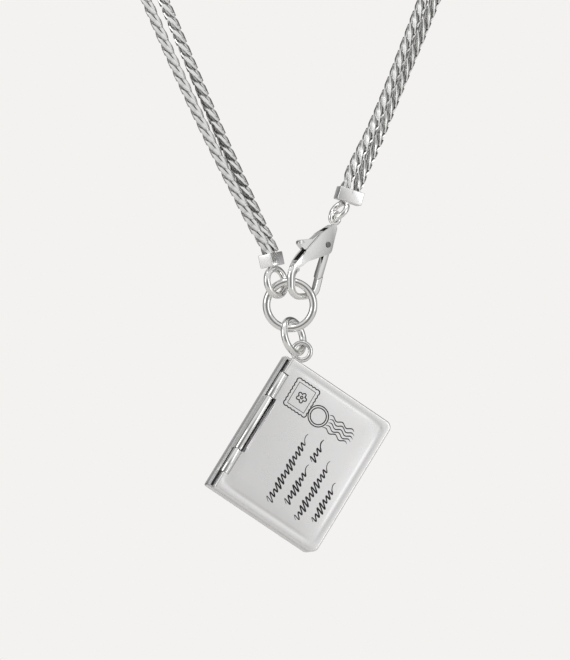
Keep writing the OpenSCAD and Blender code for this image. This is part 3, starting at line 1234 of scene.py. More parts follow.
@dataclass
class Clasp:
    """The lobster clasp: its case with hook and end loop, its lever and its rivet.

    Places in the clasp's plane are [right, up] from just in front of the large ring's middle, a third
    number is towards the viewer, and a round is [right, up, radius].
    """

    finishes: Finishes
    places: CapPlaces
    # The case, with its bowed cheeks.
    thickness: float = 2.2
    body_rounds: tuple[Point, ...] = (
        (2.85, 8.2, 0.78), (7.75, 9.9, 1.15), (7.1, 11.35, 1.25), (9.35, 13.2, 0.65)
    )
    neck_rounds: tuple[Point, ...] = ((0.85, 6.5, 0.5), (1.6, 7.25, 0.6), (2.85, 8.2, 0.78))
    neck_pinch: float = 0.4
    case_ease: float = 0.2
    cheek_bow: float = 0.011
    cheek_middle: float = 3.9
    cheek_cuts: int = 20
    cheek_from: float = 0.2
    cheek_drop: float = 0.32
    # The slot, and the rivet with its holes.
    slot: tuple[Spot, ...] = (
        (2.2, 4.0), (12.0, 4.0), (12.0, 11.8), (9.3, 12.9), (6.9, 13.85), (4.5, 14.9), (0.2, 11.6)
    )
    slot_gap: float = 0.08
    pin: Spot = (7.8, 10.4)
    pin_radius: float = 0.5
    case_bore_room: float = 0.02
    lever_bore_room: float = 0.04
    rivet_proud: float = 0.05
    rivet_ease: float = 0.12
    # The end loop.
    loop_radius: float = 0.99
    loop_wire: float = 0.38
    # The hook's route.
    hook: Spot = (2.1, 3.45)
    hook_radius: float = 2.0
    neck_radius: float = 2.4
    neck_rise: float = 1.25
    neck_angle: float = 120.0
    foot_radius: float = 14.0
    foot_rise: float = 8.5
    foot_straight: float = 0.15
    corner_radius: float = 1.9
    nose_rise: float = 72.0
    nose_length: float = 2.3
    # The hook's wire, which is thicker up to a share of its length and a flat bar at its nose.
    hook_wire: float = 0.55
    nose_half: Spot = (0.56, 0.55)
    nose_ease: float = 0.06
    grown_to: float = 0.46
    grown_in: float = 1.15
    grown_out: float = 0.1
    grown_deep: float = 0.25
    bar_from: float = 0.62
    bar_to: float = 0.86
    bar_power: float = 7.0
    # The slanting joint between the nose and the lever.
    joint_at: Point = (5.76, 4.37, 0.55)
    joint_way: Point = (-0.38, 1.0, 0.39)
    joint_gap: float = 0.09
    joint_reach: float = 1.5
    # The lever.
    lever_thickness: float = 1.1
    lever_ease: float = 0.09
    tip: Point = (6.46, 5.4, 0.5)
    tip_run: float = 1.3
    tip_slant: float = 0.3
    arm_top: Point = (8.05, 9.3, 0.5)
    hub: float = 1.0
    heels: tuple[Point, ...] = ((6.9, 11.85, 0.7), (7.25, 12.2, 0.58))
    thumb: Point = (2.3, 10.7, 0.5)
    thumb_lip: Point = (3.0, 10.05, 0.5)
    thumb_root: Point = (4.9, 10.45, 0.95)
    roll_radius: float = 0.5
    roll_proud: float = 0.1
    roll_ease: float = 0.2

    @property
    def matrix(self) -> Matrix:
        """The matrix from the clasp's own plane to the necklace."""
        return placed(self.places.clasp_at, (Axis.Z, self.places.clasp_turn), (Axis.X, 90))

    @staticmethod
    def _around(rounds: Iterable[Point], steps: int = 40) -> list[Spot]:
        """Finds the outline that a band takes round some circles.

        Args:
            rounds: The circles, as [right, up, radius].
            steps: The number of places round each circle.

        Returns:
            The outline's corners, anticlockwise.
        """
        spots = sorted(
            {
                (x + r * math.cos(2 * math.pi * k / steps), y + r * math.sin(2 * math.pi * k / steps))
                for x, y, r in rounds
                for k in range(steps)
            }
        )

        def half(order: Iterable[Spot]) -> list[Spot]:
            """Walks one side of the outline.

            Args:
                order: The places, from one end to the other.

            Returns:
                The corners on that side, without the last.
            """
            chain: list[Spot] = []
            for p in order:
                while len(chain) > 1:
                    a, b = chain[-2], chain[-1]
                    if (b[0] - a[0]) * (p[1] - a[1]) - (b[1] - a[1]) * (p[0] - a[0]) > 1e-9:
                        break
                    chain.pop()
                chain.append(p)
            return chain[:-1]

        return half(spots) + half(reversed(spots))

    def _band(self, name: str, rounds: Iterable[Point], half: float) -> bpy.types.Object:
        """Makes a flat plate, of this half thickness, that a band round some circles outlines."""
        return Bench.plate(name, self._around(rounds), -half, half)

    def _bore(self, half: float, room: float) -> bpy.types.Object:
        """Makes the tool that bores the rivet's hole, with some room, through this half thickness."""
        foot = (*self.pin, -half - PAST)
        return Bench.rod("bore", foot, 2 * (half + PAST), self.pin_radius + room, sides=48)

    def _hook_path(self) -> list[Spot]:
        """Lays out the hook: neck, bend, slowly rising foot, corner and nose.

        Returns:
            Places along the middle of its wire, from the case to the nose's end.
        """

        def arc(middle: Vector, r: float, start: float, end: float, steps: int) -> list[Spot]:
            """Gives places along an arc."""
            angles = [math.radians(start + (end - start) * k / steps) for k in range(steps + 1)]
            return [(middle.x + r * math.cos(a), middle.y + r * math.sin(a)) for a in angles]

        def away(degrees: float) -> Vector:
            """Gives the way out of a bend at its end that heads this much above level."""
            return Vector((math.sin(math.radians(degrees)), -math.cos(math.radians(degrees))))

        def ahead(degrees: float) -> Vector:
            """Gives the way that heads this much above level."""
            return Vector((math.cos(math.radians(degrees)), math.sin(math.radians(degrees))))

        bend = Vector(self.hook)
        neck = Vector((bend.x - self.hook_radius + self.neck_radius, bend.y + self.neck_rise))
        foot = bend + Vector((0, self.foot_radius - self.hook_radius))
        level = foot + self.foot_radius * away(self.foot_rise) + self.foot_straight * ahead(self.foot_rise)
        corner = level - self.corner_radius * away(self.foot_rise)
        nose = corner + self.corner_radius * away(self.nose_rise)
        path = arc(neck, self.neck_radius, self.neck_angle, 180, 10)
        path += arc(bend, self.hook_radius, 180, 270, 20)[1:]
        path += arc(foot, self.foot_radius, 270, 270 + self.foot_rise, 6)[1:]
        path += arc(corner, self.corner_radius, 270 + self.foot_rise, 270 + self.nose_rise, 14)
        steps = 6
        for k in range(1, steps + 1):
            path.append(tuple(nose + self.nose_length * k / steps * ahead(self.nose_rise)))
        return path

    def _hook(self) -> bpy.types.Object:
        """Makes the hook: round wire that grows out of the case and ends in a flat-sided nose.

        Returns:
            The hook.
        """
        path = self._hook_path()
        last = len(path) - 1

        def place(u: float, v: float) -> Point:
            """Finds a place on the wire's skin.

            Args:
                u: The share along the wire.
                v: The share round it.

            Returns:
                The place, as [right, up, towards the viewer].
            """
            k = min(int(round(u * last)), last)
            before, after = Vector(path[max(k - 1, 0)]), Vector(path[min(k + 1, last)])
            on = (after - before).normalized()
            bar = eased(min(1.0, max(0.0, (u - self.bar_from) / (self.bar_to - self.bar_from))))
            wide = self.hook_wire * (1 - bar) + self.nose_half[0] * bar
            thick = self.hook_wire * (1 - bar) + self.nose_half[1] * bar
            grown = max(0.0, 1 - u / self.grown_to)
            power = 2.0 + self.bar_power * bar
            c, s = math.cos(2 * math.pi * v), math.sin(2 * math.pi * v)
            r = (abs(c) ** power + abs(s) ** power) ** (-1 / power)
            across = wide * r * c * (1 + (self.grown_in if c > 0 else self.grown_out) * grown)
            deep = thick * r * s * (1 + self.grown_deep * grown)
            return path[k][0] - across * on.y, path[k][1] + across * on.x, -deep

        hook = Bench.sleeve("hook", last, 32, place)
        Bench.cut(hook, self._past_joint(-1))
        Bench.soften(hook, self.nose_ease, steps=2, angle=60.0)
        Bench.smooth(hook, Edge.HOOK)
        return hook

    def _past_joint(self, side: int) -> bpy.types.Object:
        """Makes the block that cuts the nose, or the lever's foot, along their slanting joint.

        Args:
            side: -1 for what lies above the nose's end and 1 for what lies under the lever's.

        Returns:
            The block.
        """
        reach = self.joint_reach
        low, high = sorted((side * self.joint_gap / 2, -2 * side * reach))
        block = Bench.block("joint", (-reach, low, -reach), (reach, high, reach))
        turn = Vector((0, 1, 0)).rotation_difference(Vector(self.joint_way)).to_matrix().to_4x4()
        block.data.transform(Matrix.Translation(self.joint_at) @ turn)
        return block

    def _cheeks(self, case: bpy.types.Object, gap: float) -> None:
        """Bows the case's two cheeks a little, so that they shade as pressed metal does.

        Args:
            case: The case, before its slot is cut.
            gap: Half the slot's width.
        """
        x0, x1 = self.neck_rounds[0][0], self.body_rounds[-1][0]
        cuts = [x0 + (x1 - x0) * k / self.cheek_cuts for k in range(self.cheek_cuts + 1)]
        Bench.slice(case, cuts, (1.0, 0.0, 0.0))
        start = Vector(self.neck_rounds[0][:2])
        run = Vector(self.neck_rounds[-1][:2]) - start
        for vertex in case.data.vertices:
            if abs(vertex.co.z) > gap + self.cheek_from:
                drop = self.cheek_bow * (vertex.co.x - self.cheek_middle) ** 2
                vertex.co.z -= math.copysign(min(drop, self.cheek_drop), vertex.co.z)
            share = (vertex.co.xy - start).dot(run) / run.length_squared
            vertex.co.z *= 1 - self.neck_pinch * min(1.0, max(0.0, 1 - share)) ** 2

    def _case(self) -> None:
        """Makes the case with its slot, its hook and its end loop."""
        half = self.thickness / 2
        case = self._band("clasp_case", self.body_rounds, half)
        Bench.fuse(case, self._band("neck", self.neck_rounds, half))
        Bench.merge(case, SAME)
        Bench.soften(case, self.case_ease, steps=4)
        gap = self.lever_thickness / 2 + self.slot_gap
        self._cheeks(case, gap)
        Bench.cut(case, Bench.plate("slot", self.slot, -gap, gap))
        Bench.cut(case, self._bore(half, self.case_bore_room))
        Bench.smooth(case, Edge.PLATE)
        # The slot's inner walls take the dark silver: painted shade inside the slot.
        case.data.materials.append(self.finishes.plate)
        case.data.materials.append(self.finishes.shade)
        for polygon in case.data.polygons:
            reach = max(abs(case.data.vertices[v].co.z) for v in polygon.vertices)
            polygon.material_index = 1 if reach < gap + NEAR else 0
        loop = Bench.ring("loop", self.loop_radius, self.loop_wire, turns=64, sides=18)
        loop.data.transform(Matrix.Translation((self.places.loop_at.x, self.places.loop_at.z, 0)))
        hook = self._hook()
        hook.data.materials.append(self.finishes.polished)
        loop.data.materials.append(self.finishes.polished)
        case = Bench.join("clasp_case_and_hook", [case, hook, loop])
        Bench.seat(case, self.matrix)
        Piece.hand_over(case, Body.CHAIN, Slot.POLISHED, nodes=["clasp_body"])

    def _lever(self) -> None:
        """Makes the lever: the gate arm, the hub with its heel, and the thumb tab with its rolled end."""
        half = self.lever_thickness / 2
        hub = (*self.pin, self.hub)
        low_tip = (self.tip[0] - self.tip_slant * self.tip_run, self.tip[1] - self.tip_run, self.tip[2])
        arm = self._band("arm", [self.arm_top, self.tip, low_tip], half)
        Bench.cut(arm, self._past_joint(1))
        Bench.fuse(arm, self._band("root", [hub, self.thumb_root, *self.heels], half))
        Bench.fuse(arm, self._band("tab", [self.thumb_root, self.thumb, self.thumb_lip], half))
        Bench.merge(arm, SAME)
        Bench.soften(arm, self.lever_ease, angle=50.0)
        foot = (self.thumb[0], self.thumb[1], -half - self.roll_proud)
        roll = Bench.rod("roll", foot, 2 * (half + self.roll_proud), self.roll_radius)
        Bench.soften(roll, self.roll_ease, steps=4)
        Bench.cut(arm, self._bore(half, self.lever_bore_room))
        Bench.smooth(arm, Edge.PLATE)
        Bench.smooth(roll, Edge.PLATE)
        lever = Bench.join("clasp_gate", [arm, roll])
        Bench.seat(lever, self.matrix)
        Piece.hand_over(lever, Body.LEVER, Slot.POLISHED, self.finishes.polished, ["clasp_lever"])

    def _rivet(self) -> None:
        """Makes the rivet with its slightly domed ends."""
        reach = self.thickness / 2 + self.rivet_proud
        rivet = Bench.rod("clasp_rivet", (*self.pin, -reach), 2 * reach, self.pin_radius, sides=48)
        Bench.soften(rivet, self.rivet_ease)
        Bench.smooth(rivet, Edge.PLATE)
        Bench.seat(rivet, self.matrix)
        # The rivet takes the dark silver too: painted shade deep in the slot.
        Piece.hand_over(rivet, Body.CHAIN, Slot.POLISHED, self.finishes.shade, ["clasp_pin"])

    def build(self) -> None:
        """Makes the clasp's pieces."""
        self._case()
        self._lever()
        self._rivet()


@dataclass
class LocketShape:
    """The envelope locket's sizes in its own frame.

    X runs from the hinge to the opening edge, Y from front to back and Z along the hinge.
    """

    rings: WireRings
    # The closed box and how it hangs.
    length: float = 26.6
    height: float = 22.2
    thickness: float = 4.2
    turn: float = 17.0
    lean: float = 32.2
    # The covers' edges and walls.
    corner: float = 1.3
    hinge_corner: float = 0.35
    face_round: float = 0.7
    rim_round: float = 0.09
    wall: float = 0.75
    face: float = 0.8
    seam: float = 0.05
    # The hinge: its middle line, the barrel's knuckles and their leaves.
    hinge_in: float = 1.1
    hinge_y: float = -1.2
    hinge_rim: float = 1.3
    front_edge: float = 0.8
    barrel: float = 0.65
    barrel_pocket: float = 1.85
    barrel_share: float = 0.76
    barrel_room: float = 0.1
    knuckle_share: float = 0.4
    knuckle_gap: float = 0.12
    knuckle_room: float = 0.35
    knuckle_ease: float = 0.06
    front_leaf: float = 0.4
    back_leaf: float = 0.6
    leaf_lap: float = 0.1
    # The groove beside the middle knuckle.
    groove: Spot = (-0.2, 0.3)
    groove_short: float = 0.9
    groove_floor: float = -1.75
    groove_round: float = 0.08
    # The line along the back cover's rim, and the gap beside it, whose faces take dark silver as painted
    # shade.
    rim_line: Spot = (0.2, 0.34)
    rim_line_depth: float = 0.12
    rim_line_short: float = 0.4
    rim_gap: Spot = (-0.28, 0.1)
    rim_gap_depth: float = 0.5
    # The bail ring and its foot.
    bail: Point = (-9.2, -0.7, 15.25)
    bail_radius: float = 1.5
    bail_wire: float = 0.42
    bail_shift: Point = (0.67, 0.91, 0.32)
    foot: Spot = (-9.15, -0.48)
    foot_size: Spot = (1.4, 0.7)
    foot_sunk: float = 0.3
    foot_lap: float = 0.05
    foot_round: float = 0.16
    # The face: a soft crown, with a shallow dip inside its border.
    crown: float = 0.16
    border: float = 1.1
    roll: float = 0.04
    roll_at: float = 1.35
    roll_width: float = 0.4
    roll_corner: float = 3.2

    @property
    def matrix(self) -> Matrix:
        """The matrix from the locket's own frame to the necklace.

        Returns:
            The matrix, with the swing that the hanging weight gives.
        """
        at = self.rings.link_foot + Vector(self.bail_shift)
        turned = placed(at, (Axis.Z, self.turn), (Axis.Y, self.lean))
        return self.rings.hanging @ turned @ Matrix.Translation(-Vector(self.bail))

    @property
    def bail_matrix(self) -> Matrix:
        """The matrix that puts the bail ring in the locket's own frame.

        Returns:
            The matrix, by which the ring faces the viewer.
        """
        matrix = Matrix.Translation(self.bail)
        for axis, degrees in ((Axis.Y, -self.lean), (Axis.Z, -self.turn), (Axis.X, 90.0)):
            matrix = matrix @ Matrix.Rotation(math.radians(degrees), 4, axis.value)
        return matrix

    @property
    def hinge(self) -> Spot:
        """The hinge's middle line, as [x, y]."""
        return -self.height / 2 + self.hinge_in, self.hinge_y

    def swell(self, x: float, z: float) -> float:
        """Says how far a face stands out at a place.

        Args:
            x: The place across the locket.
            z: The place along the hinge.

        Returns:
            The height above the flat face.
        """
        across = max(0.0, 1 - (x / (self.height / 2 - self.border)) ** 2)
        along = max(0.0, 1 - (z / (self.length / 2 - self.border)) ** 2)
        past_x = abs(x) - self.height / 2 + self.roll_corner
        past_z = abs(z) - self.length / 2 + self.roll_corner
        cornered = math.hypot(past_x, past_z) if min(past_x, past_z) > 0 else max(past_x, past_z)
        inward = self.roll_corner - cornered
        dip = self.roll * math.exp(-(((inward - self.roll_at) / self.roll_width) ** 2))
        return self.crown * across * along - dip


@dataclass
class Locket:
    """The two covers of the envelope locket and the bail ring at its corner.

    The notches for the hinge are cut with blocks that reach through the cover and beyond its edge.
    """

    shape: LocketShape
    finishes: Finishes
    grid: int = 12
    through: float = 5.0
    beyond: float = 2.0

    def _shell(self, name: str, low_x: float, low_y: float, high_y: float, front: bool) -> bpy.types.Object:
        """Makes one cover's outer form, with rolled edges and a crowned face.

        Args:
            name: The object's name.
            low_x: The edge at the hinge.
            low_y: The nearer face or rim.
            high_y: The farther face or rim.
            front: Whether the crowned face looks forward.

        Returns:
            The form.
        """
        s = self.shape
        high_x, z = s.height / 2, s.length / 2
        shell = Bench.block(name, (low_x, low_y, -z), (high_x, high_y, z))
        face_y = low_y if front else high_y
        rim_y = high_y if front else low_y

        def upright(a: Vector, b: Vector) -> bool:
            """Says whether an edge runs from front to back."""
            return abs(a.x - b.x) < SAME and abs(a.z - b.z) < SAME

        def on_opening(a: Vector, b: Vector) -> bool:
            """Picks the upright edges on the opening side."""
            return upright(a, b) and a.x > 0

        def on_hinge(a: Vector, b: Vector) -> bool:
            """Picks the upright edges on the hinge side."""
            return upright(a, b) and a.x < low_x + NEAR

        def on_face(a: Vector, b: Vector) -> bool:
            """Picks the edges of the face."""
            return abs(a.y - face_y) < SAME and abs(b.y - face_y) < SAME

        def on_rim(a: Vector, b: Vector) -> bool:
            """Picks the edges of the rim."""
            return abs(a.y - rim_y) < SAME and abs(b.y - rim_y) < SAME

        Bench.round_edges(shell, on_opening, s.corner, steps=10)
        Bench.round_edges(shell, on_hinge, s.hinge_corner, steps=4)
        Bench.round_edges(shell, on_face, s.face_round, steps=7)
        Bench.round_edges(shell, on_rim, s.rim_round, steps=2)
        self._crown(shell, face_y, -1 if front else 1)
        return shell

    def _crown(self, shell: bpy.types.Object, face_y: float, side: int) -> None:
        """Cuts a face into a grid and lifts it to a soft crown.

        Args:
            shell: The cover's outer form.
            face_y: Where its face lies.
            side: -1 for a face that looks forward and 1 for one that looks back.
        """
        s = self.shape
        steps = [2 * k / self.grid - 1 for k in range(1, self.grid)]
        rolls = [s.roll_at + k * s.roll_width / 2 for k in range(-2, 4)]
        for half, way in ((s.height / 2, (1.0, 0.0, 0.0)), (s.length / 2, (0.0, 0.0, 1.0))):
            cuts = [share * (half - 2 * s.border) for share in steps]
            cuts += [edge * (half - inward) for inward in rolls for edge in (-1, 1)]
            Bench.slice(shell, cuts, way)
        for vertex in shell.data.vertices:
            if abs(vertex.co.y - face_y) < SAME:
                vertex.co.y += side * s.swell(vertex.co.x, vertex.co.z)

    def _knuckle(self, low: float, high: float) -> bpy.types.Object:
        """Makes one length of the hinge's barrel with eased ends.

        Args:
            low: Its lower end along the hinge.
            high: Its upper end.

        Returns:
            The length of barrel.
        """
        knuckle = Bench.rod("knuckle", (*self.shape.hinge, low), high - low, self.shape.barrel)
        Bench.soften(knuckle, self.shape.knuckle_ease, steps=2)
        Bench.smooth(knuckle, Edge.PLATE)
        return knuckle

    def _bail(self) -> list[bpy.types.Object]:
        """Makes the bail.

        Returns:
            The bail ring and the foot that it is soldered to.
        """
        s = self.shape
        bail = Bench.ring("bail", s.bail_radius, s.bail_wire, turns=80)
        bail.data.transform(s.bail_matrix)
        half_x, half_y = s.foot_size[0] / 2, s.foot_size[1] / 2
        foot = Bench.block(
            "foot",
            (s.foot[0] - half_x, s.foot[1] - half_y, s.length / 2 - s.foot_sunk),
            (s.foot[0] + half_x, s.foot[1] + half_y, s.bail[2] - s.bail_radius + s.foot_lap),
        )
        Bench.round_edges(foot, Bench.every, s.foot_round, steps=3)
        Bench.smooth(foot, Edge.PLATE)
        return [bail, foot]

    def _assemble(
        self, name: str, shell: bpy.types.Object, fittings: Sequence[bpy.types.Object],
        body: Body, node: str,
    ) -> None:
        """Joins a cover and its polished fittings and hands them over.

        Args:
            name: The piece's name.
            shell: The cover, with its finishes.
            fittings: The hinge's pieces and the bail.
            body: The body that the cover rides on.
            node: The CAD node that it replaces.
        """
        for fitting in fittings:
            fitting.data.materials.append(self.finishes.polished)
        cover = Bench.join(name, [shell, *fittings])
        Bench.seat(cover, self.shape.matrix)
        Piece.hand_over(cover, body, Slot.SATIN, nodes=[node])

    def _front(self) -> None:
        """Makes the front cover with its notch, its two knuckles and the bail."""
        s = self.shape
        half = s.length / 2
        left = -s.height / 2
        shell = self._shell("front_cover_shell", left + s.front_edge, -s.thickness / 2, -s.seam, True)
        pocket_x = left + s.barrel_pocket
        knuckle_x = pocket_x + s.knuckle_room
        pocket = Bench.block(
            "pocket",
            (knuckle_x + s.wall, s.face - s.thickness / 2, s.wall - half),
            (s.height / 2 - s.wall, PAST, half - s.wall),
        )
        Bench.cut(shell, pocket)
        barrel = s.length * s.barrel_share / 2
        middle = s.length * s.knuckle_share / 2 + s.knuckle_gap
        start = left - self.beyond
        for end_x, reach in ((pocket_x, barrel + s.barrel_room), (knuckle_x, middle)):
            low, high = (start, -self.through, -reach), (end_x, self.through, reach)
            Bench.cut(shell, Bench.block("notch", low, high))
        groove = Bench.block(
            "groove",
            (knuckle_x + s.groove[0], -self.through, s.groove_short - middle),
            (knuckle_x + s.groove[1], s.groove_floor, middle - s.groove_short),
        )
        Bench.round_edges(groove, Bench.every, s.groove_round, steps=2)
        Bench.cut(shell, groove)
        Bench.smooth(shell, Edge.COVER)
        shell.data.materials.append(self.finishes.satin)
        x, y = s.hinge
        fittings = []
        for low, high in ((-barrel, -middle), (middle, barrel)):
            leaf = Bench.block("leaf", (x, y - s.front_leaf, low), (pocket_x + s.leaf_lap, y, high))
            fittings += [self._knuckle(low, high), leaf]
        self._assemble("locket_front", shell, fittings + self._bail(), Body.PENDANT, "front_cover")

    def _back(self) -> None:
        """Makes the back cover with its grooved rim, the middle knuckle and its leaf."""
        s = self.shape
        half = s.length / 2
        left = -s.height / 2
        shell = self._shell("back_cover_shell", left, s.seam, s.thickness / 2, False)
        pocket = Bench.block(
            "pocket",
            (left + s.hinge_rim, -PAST, s.wall - half),
            (s.height / 2 - s.wall, s.thickness / 2 - s.face, half - s.wall),
        )
        Bench.cut(shell, pocket)
        rim_end = half - s.rim_line_short
        line_high = (left + s.rim_line[1], s.seam + s.rim_line_depth, rim_end)
        Bench.cut(shell, Bench.block("line", (left + s.rim_line[0], -PAST, -rim_end), line_high))
        gap_low, gap_high = left + s.front_edge + s.rim_gap[0], left + s.front_edge + s.rim_gap[1]
        gap_floor = s.seam + s.rim_gap_depth
        Bench.cut(shell, Bench.block("gap", (gap_low, -PAST, -rim_end), (gap_high, gap_floor, rim_end)))
        Bench.smooth(shell, Edge.COVER)
        shell.data.materials.append(self.finishes.satin)
        # The faces inside the rim's gap take the dark silver: painted shade in the gap.
        shell.data.materials.append(self.finishes.shade)
        for face in shell.data.polygons:
            corners = [shell.data.vertices[k].co for k in face.vertices]
            if all(gap_low - NEAR < c.x < gap_high + NEAR and c.y < gap_floor + NEAR for c in corners):
                face.material_index = 1
        reach = s.length * s.knuckle_share / 2
        x, y = s.hinge
        leaf = Bench.block("leaf", (x - s.back_leaf, y, -reach), (x, s.seam + s.leaf_lap, reach))
        self._assemble("locket_back", shell, [self._knuckle(-reach, reach), leaf], Body.LID, "back_cover")

    def build(self) -> None:
        """Makes both covers and dresses the hinge's wire."""
        self._front()
        self._back()
        pin = frame["nodes"]["hinge_pin"]
        for slot in pin.material_slots:
            slot.material = self.finishes.polished


@dataclass
class Engraving:
    """The blackened lines on the front: a plain stamp, a round mark with waves, and pen strokes.

    Places on the face are [x, z] in the locket's own frame.
    """

    shape: LocketShape
    finishes: Finishes
    # The lines, and how flat they lie.
    line: float = 0.11
    fine: float = 0.7
    proud: float = 0.012
    flatness: float = 0.25
    # The stamp.
    stamp_at: Spot = (-5.3, 8.2)
    stamp_half: Spot = (2.2, 2.6)
    stamp_margin: float = 0.5
    teeth: tuple[int, int] = (6, 7)
    tooth: float = 0.14
    tooth_steps: int = 6
    petals: int = 5
    petal_reach: float = 0.95
    petal_waist: float = 0.55
    petal_steps: int = 24
    flower_middle: float = 0.22
    # The round mark and the waves beside it.
    mark_at: Spot = (-1.1, 7.1)
    mark_radii: Spot = (1.85, 1.45)
    waves: int = 5
    wave_spacing: float = 0.62
    wave_clear: float = 1.95
    wave_gap: float = 0.15
    wave_length: float = 5.2
    wave_height: float = 0.24
    wave_turns: float = 2.5
    # The pen strokes, with their lines as [where they stand, where they start, the length of each run].
    pen: float = 0.175
    pen_start: float = 0.35
    pen_taper: float = 6.0
    pen_thin: float = 0.62
    pen_slant: float = 0.5
    pen_pitch: float = 0.95
    pen_low: float = 0.3
    pen_high: float = 0.45
    pen_beat: Spot = (0.83, 2.3)
    pen_lean: float = 0.55
    pen_gap: float = 2.2
    flick_length: float = 1.5
    flick_height: float = 0.35
    flick_bend: float = 2.6
    pen_lines: tuple[tuple[float, float, tuple[float, ...]], ...] = (
        (-0.8, -10.2, (12.2,)), (2.1, -8.8, (6.4, 2.9)), (5.0, -10.2, (10.4,)), (7.8, -8.8, (6.4,))
    )

    @staticmethod
    def _circle(middle: Spot, radius: float, steps: int) -> list[Spot]:
        """Gives places round a circle."""
        angles = [2 * math.pi * k / steps for k in range(steps)]
        return [(middle[0] + radius * math.cos(a), middle[1] + radius * math.sin(a)) for a in angles]

    def _lay(self, name: str, strokes: Sequence[bpy.types.Object]) -> None:
        """Presses strokes flat onto the crowned face and hands them over as one piece.

        Args:
            name: The piece's name.
            strokes: The strokes.
        """
        s = self.shape
        piece = Bench.join(name, strokes)
        for vertex in piece.data.vertices:
            surface = -s.thickness / 2 - s.swell(vertex.co.x, vertex.co.z)
            vertex.co.y = surface - self.proud + self.flatness * vertex.co.y
        Bench.smooth(piece, Edge.WIRE)
        Bench.seat(piece, s.matrix)
        Piece.hand_over(piece, Body.PENDANT, Slot.BLACK, self.finishes.black)

    def _stroke(
        self, spots: Sequence[Spot], width: float, closed: bool = False, pen: bool = False
    ) -> bpy.types.Object:
        """Makes one stroke through places on the face.

        Args:
            spots: The stroke's middle line.
            width: Half the stroke's width.
            closed: Whether it closes on itself.
            pen: Whether it swells and thins as a pen does.

        Returns:
            The stroke.
        """
        swell = None
        if pen:
            last = len(spots) - 1
            swell = []
            for k in range(len(spots)):
                a, b = spots[max(k - 1, 0)], spots[min(k + 1, last)]
                slope = math.atan2(b[1] - a[1], b[0] - a[0])
                taper = min(1.0, self.pen_start + self.pen_taper * min(k, last - k) / last)
                broad = abs(math.cos(slope - self.pen_slant))
                swell.append(taper * (self.pen_thin + (1 - self.pen_thin) * broad))
        points = [(x, 0.0, z) for x, z in spots]
        return Bench.wire("stroke", points, width, closed=closed, roundness=1, swell=swell)

    def _scallops(self) -> list[Spot]:
        """Lays out the stamp's scalloped edge.

        Returns:
            Places along it, anticlockwise.
        """
        w, h = self.stamp_half
        corners = [Vector(corner) for corner in ((-w, -h), (w, -h), (w, h), (-w, h))]
        edge = []
        for k, start in enumerate(corners):
            run = corners[(k + 1) % len(corners)] - start
            normal = Vector((run.y, -run.x)).normalized()
            teeth = self.teeth[k % 2]
            steps = teeth * self.tooth_steps
            for j in range(steps):
                dip = self.tooth * abs(math.sin(math.pi * teeth * j / steps))
                spot = start + run * j / steps + normal * dip
                edge.append((self.stamp_at[0] + spot.x, self.stamp_at[1] + spot.y))
        return edge

    def _stamp(self) -> None:
        """Draws a stamp: a scalloped edge, an inner line and a five-petalled flower."""
        x0, z0 = self.stamp_at
        w, h = self.stamp_half[0] - self.stamp_margin, self.stamp_half[1] - self.stamp_margin
        box = [(x0 - w, z0 - h), (x0 + w, z0 - h), (x0 + w, z0 + h), (x0 - w, z0 + h)]
        flower = []
        steps = self.petal_steps * self.petals
        for k in range(steps):
            angle = 2 * math.pi * k / steps
            lobe = abs(math.cos(self.petals / 2 * angle))
            r = self.petal_reach * (self.petal_waist + (1 - self.petal_waist) * lobe)
            flower.append((x0 + r * math.cos(angle), z0 + r * math.sin(angle)))
        strokes = [
            self._stroke(self._scallops(), self.line, closed=True),
            self._stroke(box, self.fine * self.line, closed=True),
            self._stroke(flower, self.line, closed=True),
            self._stroke(self._circle(self.stamp_at, self.flower_middle, 20), self.line, closed=True),
        ]
        self._lay("stamp_lines", strokes)

    def _mark(self) -> None:
        """Draws a round mark of two circles, with waves that run on from it."""
        x0, z0 = self.mark_at
        strokes = []
        for radius in self.mark_radii:
            strokes.append(self._stroke(self._circle(self.mark_at, radius, 64), self.line, closed=True))
        steps = 60
        for row in range(self.waves):
            z = z0 + self.wave_spacing * (row - self.waves // 2)
            start = x0 + math.sqrt(max(0.0, self.wave_clear**2 - (z - z0) ** 2)) + self.wave_gap
            wave = []
            for t in (k / steps for k in range(steps + 1)):
                rise = self.wave_height * math.sin(2 * math.pi * self.wave_turns * t)
                wave.append((start + self.wave_length * t, z + rise))
            strokes.append(self._stroke(wave, self.line, pen=True))
        self._lay("mark_and_waves", strokes)

    def _scribble(self, x0: float, z0: float, length: float) -> bpy.types.Object:
        """Draws one run of slanting pen waves that ends in a long flick.

        Args:
            x0: The line that it stands on.
            z0: Where it starts along that line.
            length: How far it runs.

        Returns:
            The stroke.
        """
        waves = round(length / self.pen_pitch)
        steps = waves * 16
        run = []
        for k in range(steps + 1):
            t = k / steps
            beat = abs(math.sin(self.pen_beat[0] * waves * t + self.pen_beat[1] * x0))
            uneven = beat * (1 - t**6)
            rise = (self.pen_low + self.pen_high * uneven) * math.sin(2 * math.pi * waves * t)
            run.append((x0 - rise, z0 + length * t + self.pen_lean * rise))
        steps = 12
        for k in range(1, steps + 1):
            t = k / steps
            rise = self.flick_height * math.sin(self.flick_bend * t)
            run.append((x0 - rise, z0 + length + self.flick_length * t))
        return self._stroke(run, self.pen, pen=True)

    def _strokes(self) -> None:
        """Draws four lines of pen waves in long runs."""
        strokes = []
        for x0, z0, lengths in self.pen_lines:
            for length in lengths:
                strokes.append(self._scribble(x0, z0, length))
                z0 += length + self.pen_gap
        self._lay("pen_strokes", strokes)

    def build(self) -> None:
        """Draws all the lines."""
        self._stamp()
        self._mark()
        self._strokes()


@dataclass(frozen=True)
class Card:
    """A round card in the room that silver mirrors, with soft edges between two half angles."""

    way: Point
    inner: float
    outer: float
    value: float


@dataclass(frozen=True)
class Softbox:
    """A soft rectangular light, its place in millimetres from the large ring."""

    name: str
    at: Point
    size: Spot
    power: float


